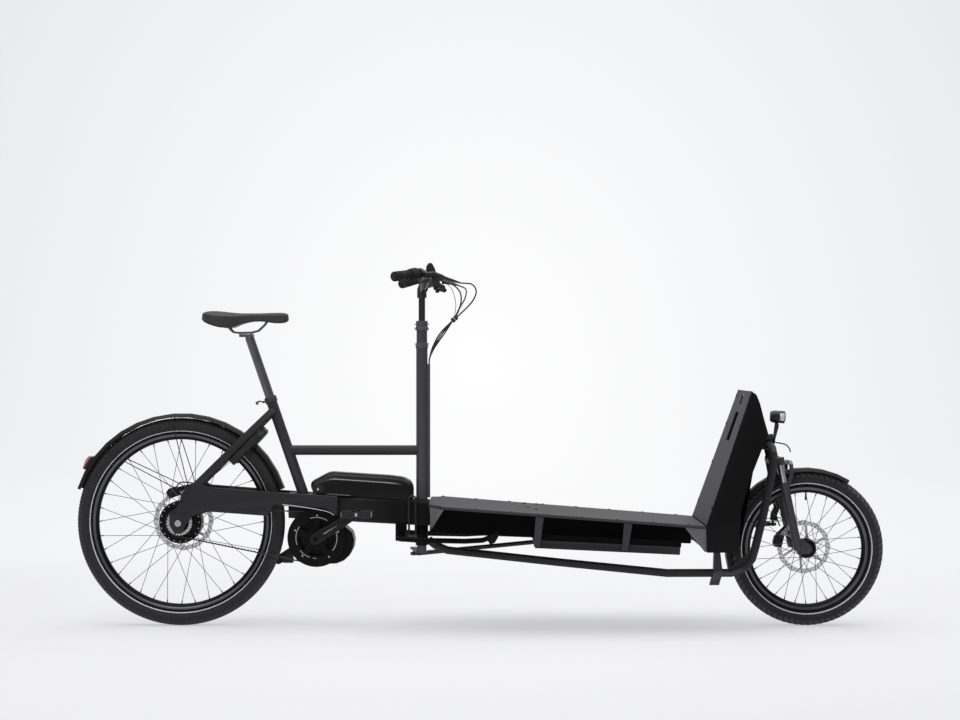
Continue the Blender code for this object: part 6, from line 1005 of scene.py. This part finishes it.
# Fork lowers: cast magnesium under a satin grey lacquer.
lacquer = grained("satin_grey_lacquer", 0.36, 0.2, {"Scale": 600, "Detail": 2.0}, "#303031", "#434344",
                  rough=(0.3, 0.45))
smoothed("fork_lowers", "fork_lower_legs", "lowers", lacquer, 1 * MM)
smoothed("front_calliper", "front_brake_calliper", "lowers", anodised, 1 * MM)
smoothed("rear_calliper", "rear_brake_calliper", "frame", anodised, 0.8 * MM)


# Mudguards: satin black polycarbonate bands on wire stays. The lights and the ring lock are carried by them
# and by the stays.

guard_satin = grained("satin_polycarbonate", 0.5, 0.0, {"Scale": 16, "Detail": 4.0}, "#121213", "#1d1d1e",
                      rough=(0.44, 0.62), specular=0.25)
smoothed("rear_mudguard", "rear_guard_band", "frame", guard_satin, 0.4 * MM, crease=30)
smoothed("front_mudguard", "front_guard_band", "lowers", guard_satin, 0.4 * MM, crease=30)
smoothed("ring_lock", "ring_lock_case", "frame", nylon, 1.4 * MM)
smoothed("headlight", "headlight_case", "front_light", nylon, 0.8 * MM)
# Lamp lens: clear acrylic with fluted rings over a bright bowl.
lens, tree, shader, place = finish_of("clear_acrylic_lens", 0.1)
shader.inputs["Coat Weight"].default_value = 1.0
flutes = add(tree, "TexWave", {"Vector": place, "Scale": 90, "Distortion": 0.0},
             bands_direction="Z").outputs["Fac"]
tree.links.new(blended(tree, flutes, "#c3c6ca", "#f2f3f4"), shader.inputs["Base Color"])
face, beam = np.array((0.9947, 0, 0.6977)), np.array((1, 0, -0.06)) / np.hypot(1, 0.06)
glass = turned(np.array([(0.1, 27.6), (5, 27.4), (10, 26.7), (14, 25.4), (15.4, 23.8), (15.4, 22)]) * MM,
               face, 48, beam)
piece("headlight_lens", [glass], lens, "front_light", 60)
# Rear lamp: red acrylic moulded in fine vertical ribs.
red_lens, tree, shader, place = finish_of("red_acrylic_lens", 0.16)
shader.inputs["Coat Weight"].default_value = 1.0
ribs = add(tree, "TexWave", {"Vector": place, "Scale": 160, "Distortion": 0.0},
           bands_direction="Y").outputs["Fac"]
tree.links.new(blended(tree, ribs, "#b04a4c", "#e2a5a8"), shader.inputs["Base Color"])
smoothed("rear_light", "rear_lamp", "frame", red_lens, 0.6 * MM)
lamp_turn = radians(147.5)
out, tangent = np.array((cos(lamp_turn), sin(lamp_turn))), np.array((-sin(lamp_turn), cos(lamp_turn)))
foot = 0.3622 * out
base = [foot + a * MM * tangent + b * MM * out for a,
        b in ((-24.6, 0.2), (22.6, 0.2), (24.4, 7.5), (-22.6, 7.5))]
piece("rear_lamp_base", [upright(sheet_cut([base], 45.4 * MM, 0.8 * MM), rear_axle, 0)], nylon, "frame", 30)
window = []
for side in (-1, 1):
    spread = side * pi / 2 + np.linspace(-0.62, 0.62, 14)
    runs = np.array([6, 8, 20, 22]) * MM
    lift = np.array([20.6, 21.5, 21.5, 20.6]) * MM
    across_beam, upward = np.array((0, 1, 0)), np.cross(beam, (0, 1, 0))
    rows = [face + s * beam + r * (np.sin(spread)[:, None] * across_beam + np.cos(spread)[:, None] * upward)
            for s, r in zip(runs, lift)]
    window.append(grid(np.array(rows)))
piece("headlight_side_windows", window, lens, "front_light", 60)


# Small fittings: rubber boots on the hoses at the controls, the bolts of the column's collars, the lock-out
# cable of the fork, its brake hose and the bolts of the dropout.

boots = [tube(np.array(line)[:last], 5.6 * MM, 16, 48, up=(0.3, 0.2, -0.93),
              sizes=np.interp(np.linspace(0, 1, 48), [0, 0.06, 0.3, 0.34, 0.8, 1],
                              [1.1, 1.35, 1.3, 1.0, 0.8, 0.5]))
         for line, last in zip(upper_loops, (3, 3, 2))]
piece("hose_boots", boots, nylon, "cockpit", 60)
heads = [straight((-0.196 + way * 0.0165, -0.004, z), (-0.196 + way * 0.0245, -0.004, z), 2.8 * MM, 12,
                  0.7 * MM)
         for z in (0.9413, 0.9922, 1.008) for way in (-1, 1)]
piece("collar_bolts", heads, bright_screw, "column")
loop = [(0.9880, -0.012, 0.612), (1.0003, -0.020, 0.6105), (1.0175, -0.036, 0.6060), (1.0275, -0.052, 0.5930),
        (1.0290, -0.058, 0.5830)]
piece("lock_out_cable", [tube(loop, 2.2 * MM, 12, 60)], housing, "fork")
hose_run = piece("front_brake_hose",
                 [tube([(0.9790, 0.060, 0.600), (0.9700, 0.074, 0.560), (0.9800, 0.080, 0.480),
                        (0.9950, 0.082, 0.400), (1.0050, 0.070, 0.350), (1.0110, 0.050, 0.328)],
                       2.4 * MM, 12, 70)], housing)
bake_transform(hose_run)
spots = [rear_axle + np.array(spot)
         for spot in ((-0.014, -0.0745, 0.038), (0.020, -0.0745, 0.034), (0.012, -0.0745, 0.074))]
piece("dropout_bolts", [straight(spot + (0, 1.5 * MM, 0), spot - (0, 2.4 * MM, 0), 4.2 * MM, 16, 1 * MM)
                        for spot in spots], anodised, "frame")
